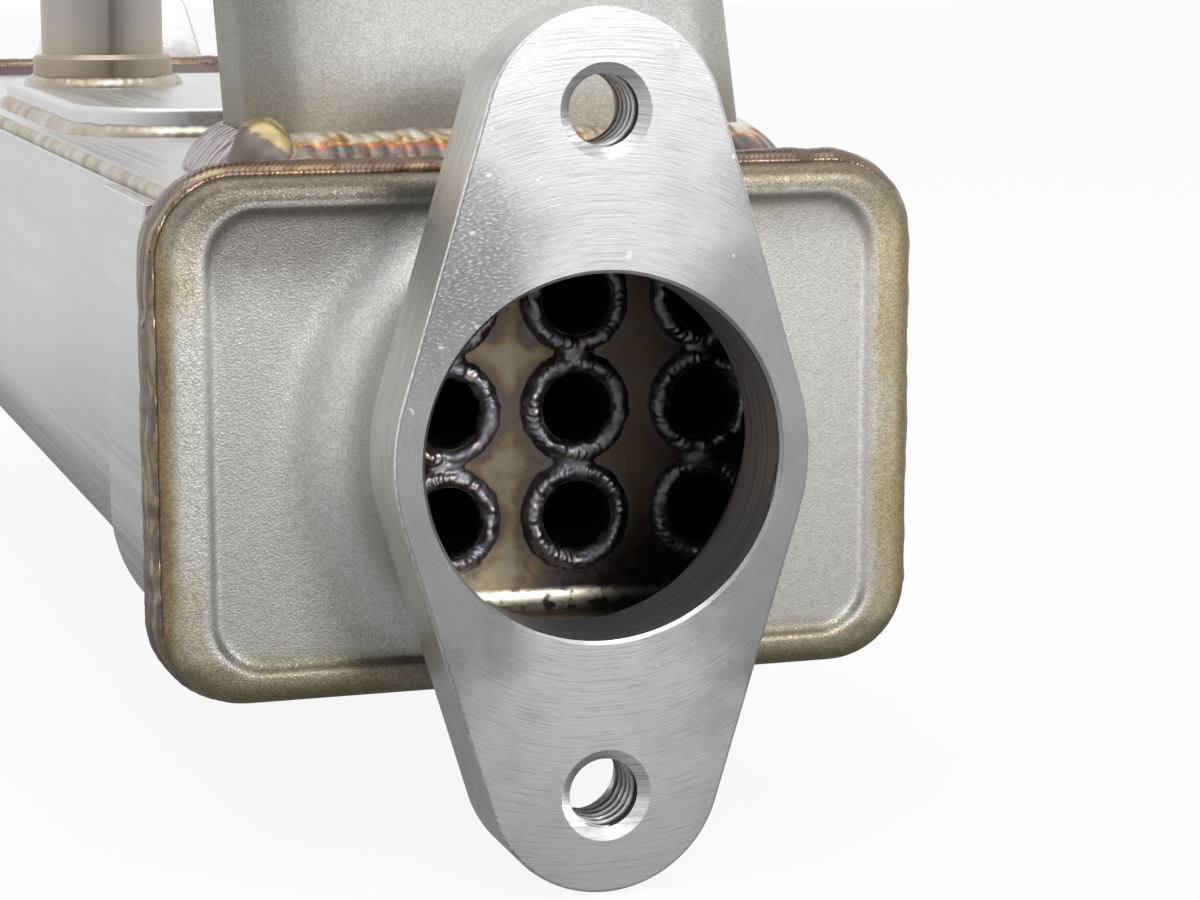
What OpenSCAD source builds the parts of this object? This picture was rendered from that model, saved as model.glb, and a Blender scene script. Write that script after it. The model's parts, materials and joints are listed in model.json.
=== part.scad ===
// Exhaust gas recirculation cooler: a welded stainless shell-and-tube heat exchanger.
// X is across the body, +Y runs from the gas inlet into the body and +Z is up.
// The origin is the centre of the inlet bore on the front face of the inlet flange.

/* [Overall] */
// Length from the inlet flange face to the outlet flange face
overall_len = 280; // [250:1:340]
// Sheet thickness of the shell, the lid and the tube sheets
sheet_t = 1.5; // [1:0.1:2]

/* [Gas flanges] */
// Diameter of the gas bore
bore_d = 36; // [30:0.5:38]
// Distance between the two bolt holes
bolt_spacing = 67; // [64:0.5:80]
// Metal left beside the bore at the flange's waist
flange_wall = 3.1; // [2.5:0.1:6]
// Radius of the rounded ears
ear_r = 12; // [9:0.1:13]
// How far the ears' centres lie inside the bolt holes
ear_inset = 2.1; // [0:0.1:3]
// Thickness of the flange
flange_t = 10; // [8:0.5:16]
// Diameter of the tapped holes
tap_d = 8; // [6:0.5:10]
// Depth of the countersink at the mouth of each tapped hole
countersink = 0.5; // [0.2:0.1:1]
// Chamfer at the mouth of the bore
bore_chamfer = 0.35; // [0.1:0.05:1]

/* [End caps] */
// Width of a cap
cap_w = 80; // [76:0.5:100]
// Height of a cap
cap_h = 53.2; // [52:0.2:70]
// Outer corner radius of a cap
cap_corner_r = 8.5; // [7:0.5:12]
// Width of the raised rim along the two sides
rim_side = 4.75; // [4:0.25:6]
// Width of the raised rim along the top and the bottom
rim_top = 3.2; // [3.2:0.1:4]
// Corner radius of the panel inside the rim
panel_corner_r = 5.5; // [4:0.5:8]
// Height of the rim above the panel
rim_rise = 1.7; // [1.2:0.1:2.5]
// Rounding of the rim's outer edge
rim_round = 1.9; // [1:0.1:2]
// Rounding of the rim's inner edge
rim_inner_round = 1.1; // [0.5:0.1:1.2]
// Depth of a cap from the crest of its rim to its seam
cap_depth = 5.7; // [5:0.1:12]
// Wall thickness of a cap
cap_wall = 2.2; // [1.5:0.1:2.4]
// Length of the neck from the flange to the panel
neck_len = 9; // [6:0.5:20]
// Wall thickness of the neck at the flange
neck_wall = 2.5; // [1.8:0.1:3]
// How much the gas way widens in radius from the flange to the panel
neck_flare = 4; // [0:0.5:5]
// Radius of the flare that leads the panel up into the neck
neck_fillet = 7; // [2:0.5:8]

/* [Tubes and tube sheets] */
// Outside diameter of a tube
tube_od = 9.5; // [7:0.1:11]
// Wall thickness of a tube
tube_wall = 0.9; // [0.5:0.1:1.5]
// Distance between the columns of tubes
column_pitch = 14.35; // [12.5:0.05:15.5]
// Distance between the rows of tubes
row_pitch = 11.7; // [11.6:0.1:13]
// How far a tube stands out of its tube sheet
tube_proud = 0.8; // [0.3:0.1:1.5]
// Width of the ring weld round a tube end
ring_w = 1; // [0.5:0.1:1.5]
// Depth of the dished tube sheet from its lip to its floor
pan_depth = 10; // [7:0.5:20]
// Inner bend radius of the dished tube sheet
pan_bend_r = 2.4; // [1:0.1:3]
// Upper corner radius inside the dished tube sheet
pan_top_r = 5; // [4.2:0.1:8]

/* [Shell] */
// How far the shell lies inside the outline of the caps
shell_inset = 1.4; // [1:0.1:2]
// Outer radius of the shell's lower corners
trough_r = 16.5; // [12:0.5:18]
// Length of the doubler bands at the ends of the trough
band_len = 25; // [10:1:40]
// Step at the lid's edge that the corner weld fills
lid_step = 1; // [0.5:0.1:1.3]
// Thickness of a baffle
baffle_t = 1.5; // [1:0.1:3]
// Distance between the baffles
baffle_pitch = 52; // [40:1:58]
// Width of the coolant window at one side of each baffle
baffle_window = 9; // [6:0.5:9.5]

/* [Coolant outlet] */
// Distance from the shell's end to the front of the duct
duct_setback = 6; // [5.5:0.5:40]
// Width of the duct at its foot
duct_w = 54; // [46:1:60]
// Depth of the duct at its foot
duct_d = 22; // [18:0.5:30]
// Corner radius of the duct at its foot
duct_corner_r = 6; // [4.5:0.5:8]
// Wall thickness of the duct
duct_wall = 2.5; // [2:0.1:4]
// Height of the duct from the lid to its gasket face
duct_h = 42; // [36:1:80]
// Angle at which the duct leans back
duct_lean = 20; // [0:1:25]
// Distance between the bolt holes of the duct's flange
duct_bolt_spacing = 74; // [70:1:90]
// Diameter of the duct's bolt holes
duct_bolt_d = 6.6; // [5:0.1:9]
// Metal left round the duct's bolt holes
duct_bolt_wall = 5.3; // [4:0.1:6]
// Thickness of the duct's flange
duct_flange_t = 7; // [5:0.5:12]

/* [Coolant inlet] */
// Outside diameter of the pipe
pipe_od = 16.5; // [12:0.5:19]
// Wall thickness of the pipe
pipe_wall = 1.5; // [1:0.1:2.5]
// Height of the pipe above the lid
pipe_h = 42; // [30:1:80]
// How far the collar at the pipe's foot stands out round it
collar_step = 1.2; // [0.6:0.1:2]
// Height of that collar above the pad
collar_h = 4; // [3.2:0.1:8]
// Distance of the pipe's axis to the left of the middle
pipe_offset = 22.5; // [0:0.5:22.5]
// Distance from the shell's end to the front of the pad
pad_setback = 72; // [70:1:90]
// Distance from the front of the pad to the pipe's axis
pad_to_pipe = 58; // [20:1:60]
// Width of the pad
pad_w = 68; // [60:0.5:69]
// Length of the pad
pad_len = 84; // [76:1:90]
// Corner radius of the pad
pad_corner_r = 14; // [8:0.5:20]
// Thickness of the pad
pad_t = 3.5; // [2.5:0.1:6]

/* [Welds] */
// Width of the seam weld round a cap
seam_w = 4.4; // [3.2:0.1:4.6]
// Height of the seam weld
seam_rise = 1.3; // [0.6:0.1:2]
// Leg of the weld round the foot of the duct
duct_weld = 5.2; // [2:0.1:5.5]
// Leg of the weld round the pad
pad_weld = 2; // [1:0.1:2.4]
// Leg of the weld round the pipe
pipe_weld = 2; // [1:0.1:3]

/* [Hidden] */
$fn = 64;
// Columns and rows of tubes
COLUMNS = 4;
ROWS = 3;
TUBES = COLUMNS * ROWS;
// Clearance between the shell and the skirt of a tube sheet
sheet_gap = 0.3;
// How much wider the neck is than the bore
neck_gap = 0.3;
// Straight part of the neck next to the flange
neck_land = 1;
// Clearance of a tube in its tube sheet
tube_gap = 0.05;
// Clearance of the pipe's collar in the pad
pipe_gap = 0.1;
// Clearance of a baffle in the shell
baffle_gap = 0.4;
// Clearance of a tube in a baffle
baffle_hole_gap = 0.15;
// Crown of the duct's weld, as a share of its leg
weld_crown = 0.15;
// What the duct's weld is drawn on past the leaning wall, before that wall is cut away
weld_spare = 0.5;
// How far the duct's weld is drawn on behind its corner
weld_back = duct_weld * tan(duct_lean) + weld_spare;
// Half the gap kept between neighbouring ring welds
ring_gap = 0.1;
// How far a rounded edge laps into its block, so that the two join
edge_lap = 0.2;
// Overlap that makes cuts pass right through
cut = 1;

// Flange
bore_r = bore_d / 2;
waist_r = bore_r + flange_wall;
bolt_z = bolt_spacing / 2;
ear_z = bolt_z - ear_inset;
tap_r = tap_d / 2;

// Cap: half sizes across the body, and places along it
cap_x = cap_w / 2;
cap_z = cap_h / 2;
panel_y = flange_t + neck_len;
crest_y = panel_y - rim_rise;
seam_y = crest_y + cap_depth;
neck_inner_r = bore_r + neck_gap;
neck_outer_r = neck_inner_r + neck_wall;
neck_flare_r = min(neck_fillet, neck_len - neck_land);
neck_root_y = panel_y + cap_wall / 2;
cap_inner_x = cap_x - cap_wall;
cap_inner_z = cap_z - cap_wall;
cap_inner_r = cap_corner_r - cap_wall;

// Shell
shell_x = cap_x - shell_inset;
shell_z = cap_z - shell_inset;
shell_y = seam_y + sheet_t;
shell_len = overall_len - 2 * shell_y;
lid_under_z = shell_z - sheet_t;
lid_x = shell_x - lid_step;
inside_x = shell_x - sheet_t;
inside_low_z = -shell_z + sheet_t;
inside_r = trough_r - sheet_t;

// Dished tube sheet
skirt_x = inside_x - sheet_gap;
skirt_z = lid_under_z - sheet_gap;
skirt_low_r = inside_r - sheet_gap;
skirt_top_r = pan_top_r + sheet_t;
pan_floor_y = seam_y + pan_depth;
pan_back_y = pan_floor_y + sheet_t;

// Tubes
tube_r = tube_od / 2;
tube_y = pan_floor_y - tube_proud;
ring_r = min(tube_r + ring_w, row_pitch / 2 - ring_gap, column_pitch / 2 - ring_gap);

// Coolant duct
duct_front_y = shell_y + duct_setback;
duct_mid_y = duct_front_y + duct_d / 2;
duct_top_z = shell_z + duct_h;
duct_flange_z = duct_top_z - duct_flange_t;
duct_ear_r = duct_bolt_d / 2 + duct_bolt_wall;
duct_flange_x = duct_bolt_spacing / 2 + duct_ear_r;
duct_flange_y = duct_d / 2 + duct_wall;
duct_flange_mid_y = duct_mid_y + (duct_h - duct_flange_t / 2) * tan(duct_lean);

// Coolant inlet
pad_front_y = shell_y + pad_setback;
pipe_y = pad_front_y + pad_to_pipe;
pipe_r = pipe_od / 2;
pipe_bore_r = pipe_r - pipe_wall;
collar_r = pipe_r + collar_step;

// Finishes
machined = [0.78, 0.78, 0.77];
blasted = [0.62, 0.61, 0.58];
sheet_steel = [0.70, 0.71, 0.72];
heat_tint = [0.55, 0.45, 0.28];
weld_metal = [0.42, 0.40, 0.42];

// Extrudes an outline drawn in X and Z along +Y
module along_y(y, length) {
    translate([0, y + length, 0]) rotate([90, 0, 0]) linear_extrude(length) children();
}

// Turns a profile drawn as radius and place along Y about the Y axis
module turned() {
    rotate([-90, 0, 0]) rotate_extrude() children();
}

// The same piece at the gas outlet end
module at_outlet() {
    translate([0, overall_len, 0]) mirror([0, 1, 0]) children();
}

// Outline across the body, with its own radius at the lower and the upper corners
module section(x, z_low, z_high, r_low, r_high) {
    z_mid = (z_low + z_high) / 2;
    translate([-x, z_low + r_low]) square([2 * x, z_high - r_high - z_low - r_low]);
    translate([-x + r_low, z_low]) square([2 * (x - r_low), z_mid - z_low]);
    translate([-x + r_high, z_mid]) square([2 * (x - r_high), z_high - z_mid]);
    for (side = [-1, 1]) {
        translate([side * (x - r_low), z_low + r_low]) circle(r_low);
        translate([side * (x - r_high), z_high - r_high]) circle(r_high);
    }
}

// Carries a profile round such an outline: its X points outwards and its Y runs along the body
module around(x, z_low, z_high, r_low, r_high) {
    wall_h = z_high - r_high - z_low - r_low;
    translate([x, 0, z_low + r_low]) linear_extrude(wall_h) children();
    translate([-x, 0, z_high - r_high]) rotate([0, 180, 0]) linear_extrude(wall_h) children();
    translate([-x + r_low, 0, z_low]) rotate([0, 90, 0]) linear_extrude(2 * (x - r_low)) children();
    translate([x - r_high, 0, z_high]) rotate([0, -90, 0]) linear_extrude(2 * (x - r_high)) children();
    corner(x - r_low, z_low + r_low, r_low, 0) children();
    corner(r_low - x, z_low + r_low, r_low, 90) children();
    corner(r_high - x, z_high - r_high, r_high, 180) children();
    corner(x - r_high, z_high - r_high, r_high, 270) children();
}

// Carries a profile round one corner of the outline
module corner(x, z, r, turn) {
    translate([x, 0, z]) rotate([-90, 0, 0]) rotate([0, 0, turn])
        rotate_extrude(angle = 90) translate([r, 0]) children();
}

// A block with that outline from y_open to y_end, with the edge at y_end rounded
module rounded_block(x, z_low, z_high, r_low, r_high, y_open, y_end, edge_r) {
    into = sign(y_end - y_open);
    y_round = y_end - into * edge_r;
    along_y(min(y_open, y_round), abs(y_round - y_open)) section(x, z_low, z_high, r_low, r_high);
    along_y(min(y_open, y_end), abs(y_end - y_open))
        section(x - edge_r, z_low + edge_r, z_high - edge_r, r_low - edge_r, r_high - edge_r);
    around(x, z_low, z_high, r_low, r_high) translate([-edge_r, y_round]) intersection() {
        circle(edge_r);
        translate([-edge_lap, -edge_r]) square([edge_r + edge_lap, 2 * edge_r]);
    }
}

// Convex weld between two faces at right angles, with its corner at the origin
module weld_profile(leg_x, leg_y) {
    polygon(concat([[0, 0]], [for (a = [0:15:90]) [leg_x * cos(a), leg_y * sin(a)]]));
}

// Flatter weld with a slight crown, drawn on behind its corner so that it can meet a leaning wall
module crowned_weld_profile(leg, back) {
    reach = function(a) leg * (1 + weld_crown * sin(2 * a)) / (cos(a) + sin(a));
    arc = [for (a = [0:15:90]) [reach(a) * cos(a), reach(a) * sin(a)]];
    polygon(concat([[-back, 0]], arc, [[-back, leg]]));
}

// Centres of the tubes, counted along the rows from the lower left
function tube_x(i) = (i % COLUMNS - (COLUMNS - 1) / 2) * column_pitch;
function tube_z(i) = (floor(i / COLUMNS) - (ROWS - 1) / 2) * row_pitch;

module at_tubes() {
    for (i = [0:TUBES - 1]) translate([tube_x(i), 0, tube_z(i)]) children();
}

// Round bar along Y
module bar_y(r, y, length) {
    translate([0, y, 0]) rotate([-90, 0, 0]) cylinder(r = r, h = length);
}

// Two-bolt outline: a round waist drawn out to two ears
module flange_outline() {
    lean = asin((waist_r - ear_r) / ear_z);
    circle(waist_r);
    for (turn = [0, 180]) rotate(turn) {
        translate([0, ear_z]) circle(ear_r);
        polygon([
            [waist_r * cos(lean), waist_r * sin(lean)],
            [ear_r * cos(lean), ear_z + ear_r * sin(lean)],
            [-ear_r * cos(lean), ear_z + ear_r * sin(lean)],
            [-waist_r * cos(lean), waist_r * sin(lean)]
        ]);
    }
}

// Machined plate with the gas bore and the two tapped holes
module gas_flange() {
    color(machined) difference() {
        along_y(0, flange_t) flange_outline();
        bar_y(bore_r, -cut, flange_t + 2 * cut);
        turned() polygon([
            [0, -cut],
            [bore_r + bore_chamfer + cut, -cut],
            [bore_r, bore_chamfer],
            [0, bore_chamfer]
        ]);
        for (side = [-1, 1]) translate([0, 0, side * bolt_z]) {
            bar_y(tap_r, -cut, flange_t + 2 * cut);
            turned() polygon([
                [0, -cut],
                [tap_r + countersink + cut, -cut],
                [tap_r, countersink],
                [0, countersink]
            ]);
        }
    }
}

// Recess that leaves the rim standing, with the rim's inner edge rounded over
module cap_panel_recess() {
    x = cap_x - rim_side;
    z = cap_z - rim_top;
    along_y(crest_y - cut, rim_rise + cut) section(x, -z, z, panel_corner_r, panel_corner_r);
    around(x, -z, z, panel_corner_r, panel_corner_r) difference() {
        translate([-cut, crest_y - cut]) square([rim_inner_round + cut, rim_inner_round + cut]);
        translate([rim_inner_round, crest_y + rim_inner_round]) circle(rim_inner_round);
    }
}

// Outline of the hollow inside a cap
module cap_inner_section() {
    section(cap_inner_x, -cap_inner_z, cap_inner_z, cap_inner_r, cap_inner_r);
}

// Neck that carries the flange; the panel flares up into it
module cap_neck() {
    foot_r = neck_outer_r + neck_flare_r;
    intersection() {
        turned() difference() {
            translate([0, flange_t]) square([foot_r, neck_root_y - flange_t]);
            translate([neck_outer_r, flange_t - cut]) square([foot_r, neck_len - neck_flare_r + cut]);
            translate([foot_r, panel_y - neck_flare_r]) circle(neck_flare_r);
        }
        along_y(flange_t, neck_root_y - flange_t) cap_inner_section();
    }
}

// Gas way from the flange into the chamber, widening behind the flange
module cap_gas_way() {
    wide_r = neck_inner_r + neck_flare;
    turned() polygon([
        [0, flange_t - cut],
        [neck_inner_r, flange_t - cut],
        [neck_inner_r, flange_t],
        [wide_r, panel_y + cap_wall],
        [wide_r, seam_y + cut],
        [0, seam_y + cut]
    ]);
}

// End cap: a shallow rectangular tray with a raised round rim, a panel and a flared neck
module end_cap() {
    color(blasted) difference() {
        union() {
            difference() {
                rounded_block(
                    cap_x, -cap_z, cap_z, cap_corner_r, cap_corner_r,
                    seam_y, crest_y, rim_round
                );
                cap_panel_recess();
            }
            cap_neck();
        }
        along_y(panel_y + cap_wall, seam_y - panel_y - cap_wall + cut) cap_inner_section();
        cap_gas_way();
    }
}

// Bead over the seam between the cap and the lip of the tube sheet
module seam_weld() {
    back_y = seam_y + sheet_t;
    color(heat_tint) around(cap_x, -cap_z, cap_z, cap_corner_r, cap_corner_r)
        polygon([for (a = [0:15:180]) [seam_rise * sin(a), back_y - seam_w * (1 + cos(a)) / 2]]);
}

// Dished tube sheet: a lip under the seam, a skirt inside the shell and a floor with the tube holes
module tube_sheet() {
    color(heat_tint) difference() {
        union() {
            along_y(seam_y, sheet_t) section(cap_x, -cap_z, cap_z, cap_corner_r, cap_corner_r);
            rounded_block(
                skirt_x, -skirt_z, skirt_z, skirt_low_r, skirt_top_r,
                seam_y, pan_back_y, pan_bend_r + sheet_t
            );
        }
        rounded_block(
            skirt_x - sheet_t, -skirt_z + sheet_t, skirt_z - sheet_t, skirt_low_r - sheet_t, pan_top_r,
            seam_y - cut, pan_floor_y, pan_bend_r
        );
        at_tubes() bar_y(tube_r + tube_gap, pan_floor_y - cut, sheet_t + 2 * cut);
    }
}

// Ring welds round the tube ends, on the gas side of a tube sheet
module ring_welds() {
    width = ring_r - tube_r;
    color(weld_metal) at_tubes() translate([0, pan_floor_y, 0])
        turned() translate([tube_r, 0]) mirror([0, 1]) weld_profile(width, tube_proud);
}

// One straight tube, open at both ends
module gas_tube(i) {
    length = overall_len - 2 * tube_y;
    color(sheet_steel) translate([tube_x(i), 0, tube_z(i)]) difference() {
        bar_y(tube_r, tube_y, length);
        bar_y(tube_r - tube_wall, tube_y - cut, length + 2 * cut);
    }
}

// Trough outline: straight sides, round lower corners and a flat upper end
module trough_outline(x, z_low, z_top, r) {
    translate([-x, z_low + r]) square([2 * x, z_top - z_low - r]);
    translate([-x + r, z_low]) square([2 * (x - r), 2 * r]);
    for (side = [-1, 1]) translate([side * (x - r), z_low + r]) circle(r);
}

// U-bent sheet that holds the coolant
module shell_trough() {
    color(sheet_steel) along_y(shell_y, shell_len) difference() {
        trough_outline(shell_x, -shell_z, lid_under_z, trough_r);
        trough_outline(inside_x, inside_low_z, lid_under_z + cut, inside_r);
    }
}

// Doubler band on the outside of the trough, flush with the cap's outline
module shell_band() {
    color(sheet_steel) along_y(shell_y, band_len) difference() {
        trough_outline(cap_x, -cap_z, lid_under_z, trough_r + shell_inset);
        trough_outline(shell_x, -shell_z, lid_under_z + cut, trough_r);
    }
}

// Opening in the lid under the duct
module duct_slot() {
    x = duct_w / 2 - duct_wall;
    y = duct_d / 2 - duct_wall / cos(duct_lean);
    r = duct_corner_r - duct_wall;
    translate([0, duct_mid_y]) section(x, -y, y, r, r);
}

// Flat sheet over the trough, with the two coolant openings
module shell_lid() {
    color(sheet_steel) difference() {
        translate([-lid_x, shell_y, lid_under_z]) cube([2 * lid_x, shell_len, sheet_t]);
        translate([0, 0, lid_under_z - cut]) linear_extrude(sheet_t + 2 * cut) duct_slot();
        translate([-pipe_offset, pipe_y, lid_under_z - cut])
            cylinder(r = pipe_bore_r, h = sheet_t + 2 * cut);
    }
}

// Corner welds along both long edges of the lid
module shell_lid_welds() {
    color(weld_metal) for (side = [0, 1]) mirror([side, 0, 0])
        along_y(shell_y, shell_len) translate([lid_x, lid_under_z]) weld_profile(lid_step, sheet_t);
}

// Plate across the shell with a hole for every tube and a coolant window at one side
module baffle(place, window_side) {
    x = inside_x - baffle_gap;
    z_low = inside_low_z + baffle_gap;
    z_top = lid_under_z - baffle_gap;
    y = overall_len / 2 + place * baffle_pitch - baffle_t / 2;
    color(sheet_steel) translate([0, y, 0]) difference() {
        along_y(0, baffle_t) trough_outline(x, z_low, z_top, inside_r - baffle_gap);
        at_tubes() bar_y(tube_r + baffle_hole_gap, -cut, baffle_t + 2 * cut);
        translate([window_side * (x - baffle_window / 2 + cut / 2), baffle_t / 2, 0])
            cube([baffle_window + cut, baffle_t + 2 * cut, 2 * cap_h], center = true);
    }
}

// Leaning prism of the duct, drawn in by an inset and too long at both ends
module duct_prism(inset) {
    x = duct_w / 2 - inset;
    y = duct_d * cos(duct_lean) / 2 - inset;
    r = duct_corner_r - inset;
    translate([0, duct_mid_y, shell_z]) rotate([-duct_lean, 0, 0]) translate([0, 0, -duct_d])
        linear_extrude(duct_h / cos(duct_lean) + 2 * duct_d) section(x, -y, y, r, r);
}

// Cast duct that leans back from the lid, with a two-bolt flange at its mouth
module coolant_outlet_duct() {
    color(blasted) difference() {
        union() {
            intersection() {
                duct_prism(0);
                translate([-duct_w, 0, shell_z]) cube([2 * duct_w, overall_len, duct_h]);
            }
            translate([0, duct_flange_mid_y, duct_flange_z]) linear_extrude(duct_flange_t)
                section(duct_flange_x, -duct_flange_y, duct_flange_y, duct_ear_r, duct_ear_r);
        }
        duct_prism(duct_wall);
        for (side = [-1, 1])
            translate([side * duct_bolt_spacing / 2, duct_flange_mid_y, duct_flange_z - cut])
                cylinder(d = duct_bolt_d, h = duct_flange_t + 2 * cut);
    }
}

// Stands an outline swept by around() upright on the lid
module on_lid(y) {
    translate([0, y, shell_z]) rotate([90, 0, 0]) children();
}

// Weld round the foot of the duct, trimmed to the leaning walls
module coolant_duct_weld() {
    color(weld_metal) difference() {
        on_lid(duct_mid_y) around(duct_w / 2, -duct_d / 2, duct_d / 2, duct_corner_r, duct_corner_r)
            crowned_weld_profile(duct_weld, weld_back);
        duct_prism(0);
    }
}

// Thick pad that carries the coolant inlet pipe
module coolant_inlet_pad() {
    color(sheet_steel) difference() {
        translate([0, pad_front_y + pad_len / 2, shell_z]) linear_extrude(pad_t)
            section(pad_w / 2, -pad_len / 2, pad_len / 2, pad_corner_r, pad_corner_r);
        translate([-pipe_offset, pipe_y, shell_z - cut])
            cylinder(r = collar_r + pipe_gap, h = pad_t + 2 * cut);
    }
}

// Weld round the pad
module coolant_pad_weld() {
    color(weld_metal) on_lid(pad_front_y + pad_len / 2)
        around(pad_w / 2, -pad_len / 2, pad_len / 2, pad_corner_r, pad_corner_r)
            weld_profile(pad_weld, pad_weld);
}

// Upright pipe for the coolant hose, with a collar that sits in the pad
module coolant_inlet_pipe() {
    color(sheet_steel) translate([-pipe_offset, pipe_y, shell_z]) difference() {
        union() {
            cylinder(r = pipe_r, h = pipe_h);
            cylinder(r = collar_r, h = pad_t + collar_h);
        }
        translate([0, 0, -cut]) cylinder(r = pipe_bore_r, h = pipe_h + 2 * cut);
    }
}

// Weld round the pipe where it leaves the pad
module coolant_pipe_weld() {
    color(weld_metal) translate([-pipe_offset, pipe_y, shell_z + pad_t])
        rotate_extrude() translate([collar_r, 0]) weld_profile(pipe_weld, pipe_weld);
}

gas_flange();  // gas_inlet_flange
end_cap();  // gas_inlet_cap
seam_weld();  // gas_inlet_seam_weld
tube_sheet();  // gas_inlet_tube_sheet
ring_welds();  // gas_inlet_ring_welds
for (i = [0:TUBES - 1]) gas_tube(i);
baffle(-1, -1);  // baffle_front
baffle(0, 1);  // baffle_middle
baffle(1, -1);  // baffle_rear
shell_trough();
shell_lid();
shell_lid_welds();
shell_band();  // shell_band_front
at_outlet() shell_band();  // shell_band_rear
coolant_outlet_duct();
coolant_duct_weld();
coolant_inlet_pad();
coolant_pad_weld();
coolant_inlet_pipe();
coolant_pipe_weld();
at_outlet() ring_welds();  // gas_outlet_ring_welds
at_outlet() tube_sheet();  // gas_outlet_tube_sheet
at_outlet() seam_weld();  // gas_outlet_seam_weld
at_outlet() end_cap();  // gas_outlet_cap
at_outlet() gas_flange();  // gas_outlet_flange
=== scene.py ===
import json
import math

import bpy
from mathutils import Matrix, Vector, noise


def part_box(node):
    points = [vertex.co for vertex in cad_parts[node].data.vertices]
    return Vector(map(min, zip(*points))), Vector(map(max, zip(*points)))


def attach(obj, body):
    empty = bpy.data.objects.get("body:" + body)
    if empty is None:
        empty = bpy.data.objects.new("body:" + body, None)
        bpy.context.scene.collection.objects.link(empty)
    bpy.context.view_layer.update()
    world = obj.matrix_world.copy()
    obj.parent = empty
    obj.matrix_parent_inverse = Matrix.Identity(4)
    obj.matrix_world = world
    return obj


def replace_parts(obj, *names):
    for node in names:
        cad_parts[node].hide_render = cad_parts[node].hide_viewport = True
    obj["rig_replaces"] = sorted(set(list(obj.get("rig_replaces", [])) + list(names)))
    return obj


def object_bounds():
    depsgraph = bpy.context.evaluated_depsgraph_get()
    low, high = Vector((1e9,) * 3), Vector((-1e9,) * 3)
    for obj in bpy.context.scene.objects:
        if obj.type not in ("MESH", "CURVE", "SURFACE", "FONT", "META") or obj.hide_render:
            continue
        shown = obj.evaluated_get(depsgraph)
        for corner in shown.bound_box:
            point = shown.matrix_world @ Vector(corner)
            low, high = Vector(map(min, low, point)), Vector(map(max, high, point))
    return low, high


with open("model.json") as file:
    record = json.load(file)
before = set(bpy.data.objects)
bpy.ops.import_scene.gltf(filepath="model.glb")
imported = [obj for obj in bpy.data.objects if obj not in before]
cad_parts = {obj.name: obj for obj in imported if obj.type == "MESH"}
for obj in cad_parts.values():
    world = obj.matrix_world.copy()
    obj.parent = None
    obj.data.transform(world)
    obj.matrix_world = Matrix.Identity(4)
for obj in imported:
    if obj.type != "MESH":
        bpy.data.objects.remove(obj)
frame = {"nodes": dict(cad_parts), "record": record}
cad_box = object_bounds()
nodes = frame["nodes"]
mounts = {m["name"]: m for m in frame["record"]["mounts"]}


# Gas tubes: twelve thin drawn stainless tubes that carry the exhaust through the coolant.
# They run from tube sheet to tube sheet and are welded in at both ends; their bores are sooted.
mm = 0.001
body_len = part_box("gas_outlet_flange")[1].y
tubes = [f"gas_tube_{number}" for number in range(1, 13)]


def plug(socket, value):
    """Wires a node's output to a socket, or sets the socket to a plain value."""
    if isinstance(value, bpy.types.NodeSocket):
        socket.id_data.links.new(value, socket)
    else:
        socket.default_value = value


def tree_of(*values):
    """The node tree that the wired ones of some values belong to."""
    return next(value.id_data for value in values if isinstance(value, bpy.types.NodeSocket))


def add(kind, *values, **settings):
    """Adds a shader node to the tree of its values. Capital names are inputs, small ones its settings."""
    made = tree_of(*values, *settings.values()).nodes.new("ShaderNode" + kind)
    for name, value in settings.items():
        if name[0].isupper():
            plug(made.inputs[name.replace("_", " ")], value)
        else:
            setattr(made, name, value)
    for socket, value in zip(made.inputs, values):
        plug(socket, value)
    return made.outputs[0]


def math_of(operation, *values):
    return add("Math", *values, operation=operation)


def plus(*values):
    return math_of("ADD", *values)


def minus(*values):
    return math_of("SUBTRACT", *values)


def times(*values):
    return math_of("MULTIPLY", *values)


def size_of(value):
    """A value without its sign."""
    return math_of("ABSOLUTE", value)


def axes_of(place):
    """The X, Y and Z of a place."""
    return add("SeparateXYZ", place).node.outputs


def mottle(place, scale, **settings):
    """An uneven tone about 0.5. Scale is its grains per metre, or per unit of a stretched place."""
    return add("TexNoise", Vector=place, Scale=scale, **settings)


def spread(value, low, high, to_low=0.0, to_high=1.0):
    """Maps a value from one range to another, softly at both ends."""
    return add("MapRange", interpolation_type="SMOOTHSTEP", Value=value,
               From_Min=low, From_Max=high, To_Min=to_low, To_Max=to_high)


def mixed(factor, first, second, blend_type="MIX"):
    """Mixes two colours."""
    made = tree_of(factor, first, second).nodes.new("ShaderNodeMix")
    made.data_type = "RGBA"
    made.blend_type = blend_type
    for index, value in ((0, factor), (6, first), (7, second)):
        if isinstance(value, tuple) and len(value) == 3:
            value = (*value, 1)
        plug(made.inputs[index], value)
    return made.outputs[2]


def paint(shader, colour):
    plug(shader.inputs["Base Color"], colour)


def dull_by(shader, roughness):
    plug(shader.inputs["Roughness"], roughness)


def new_finish(name, metallic, roughness):
    """Starts a material with plain metallic and roughness, and gives its shader and place."""
    material = bpy.data.materials.new(name)
    material.use_nodes = True
    tree = material.node_tree
    shader = tree.nodes["Principled BSDF"]
    shader.inputs["Metallic"].default_value = metallic
    shader.inputs["Roughness"].default_value = roughness
    place = tree.nodes.new("ShaderNodeTexCoord").outputs["Object"]
    return material, shader, place


def wear(node, material):
    """Gives a CAD node its finish."""
    piece = nodes[node]
    piece.data.materials.clear()
    piece.data.materials.append(material)


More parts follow.
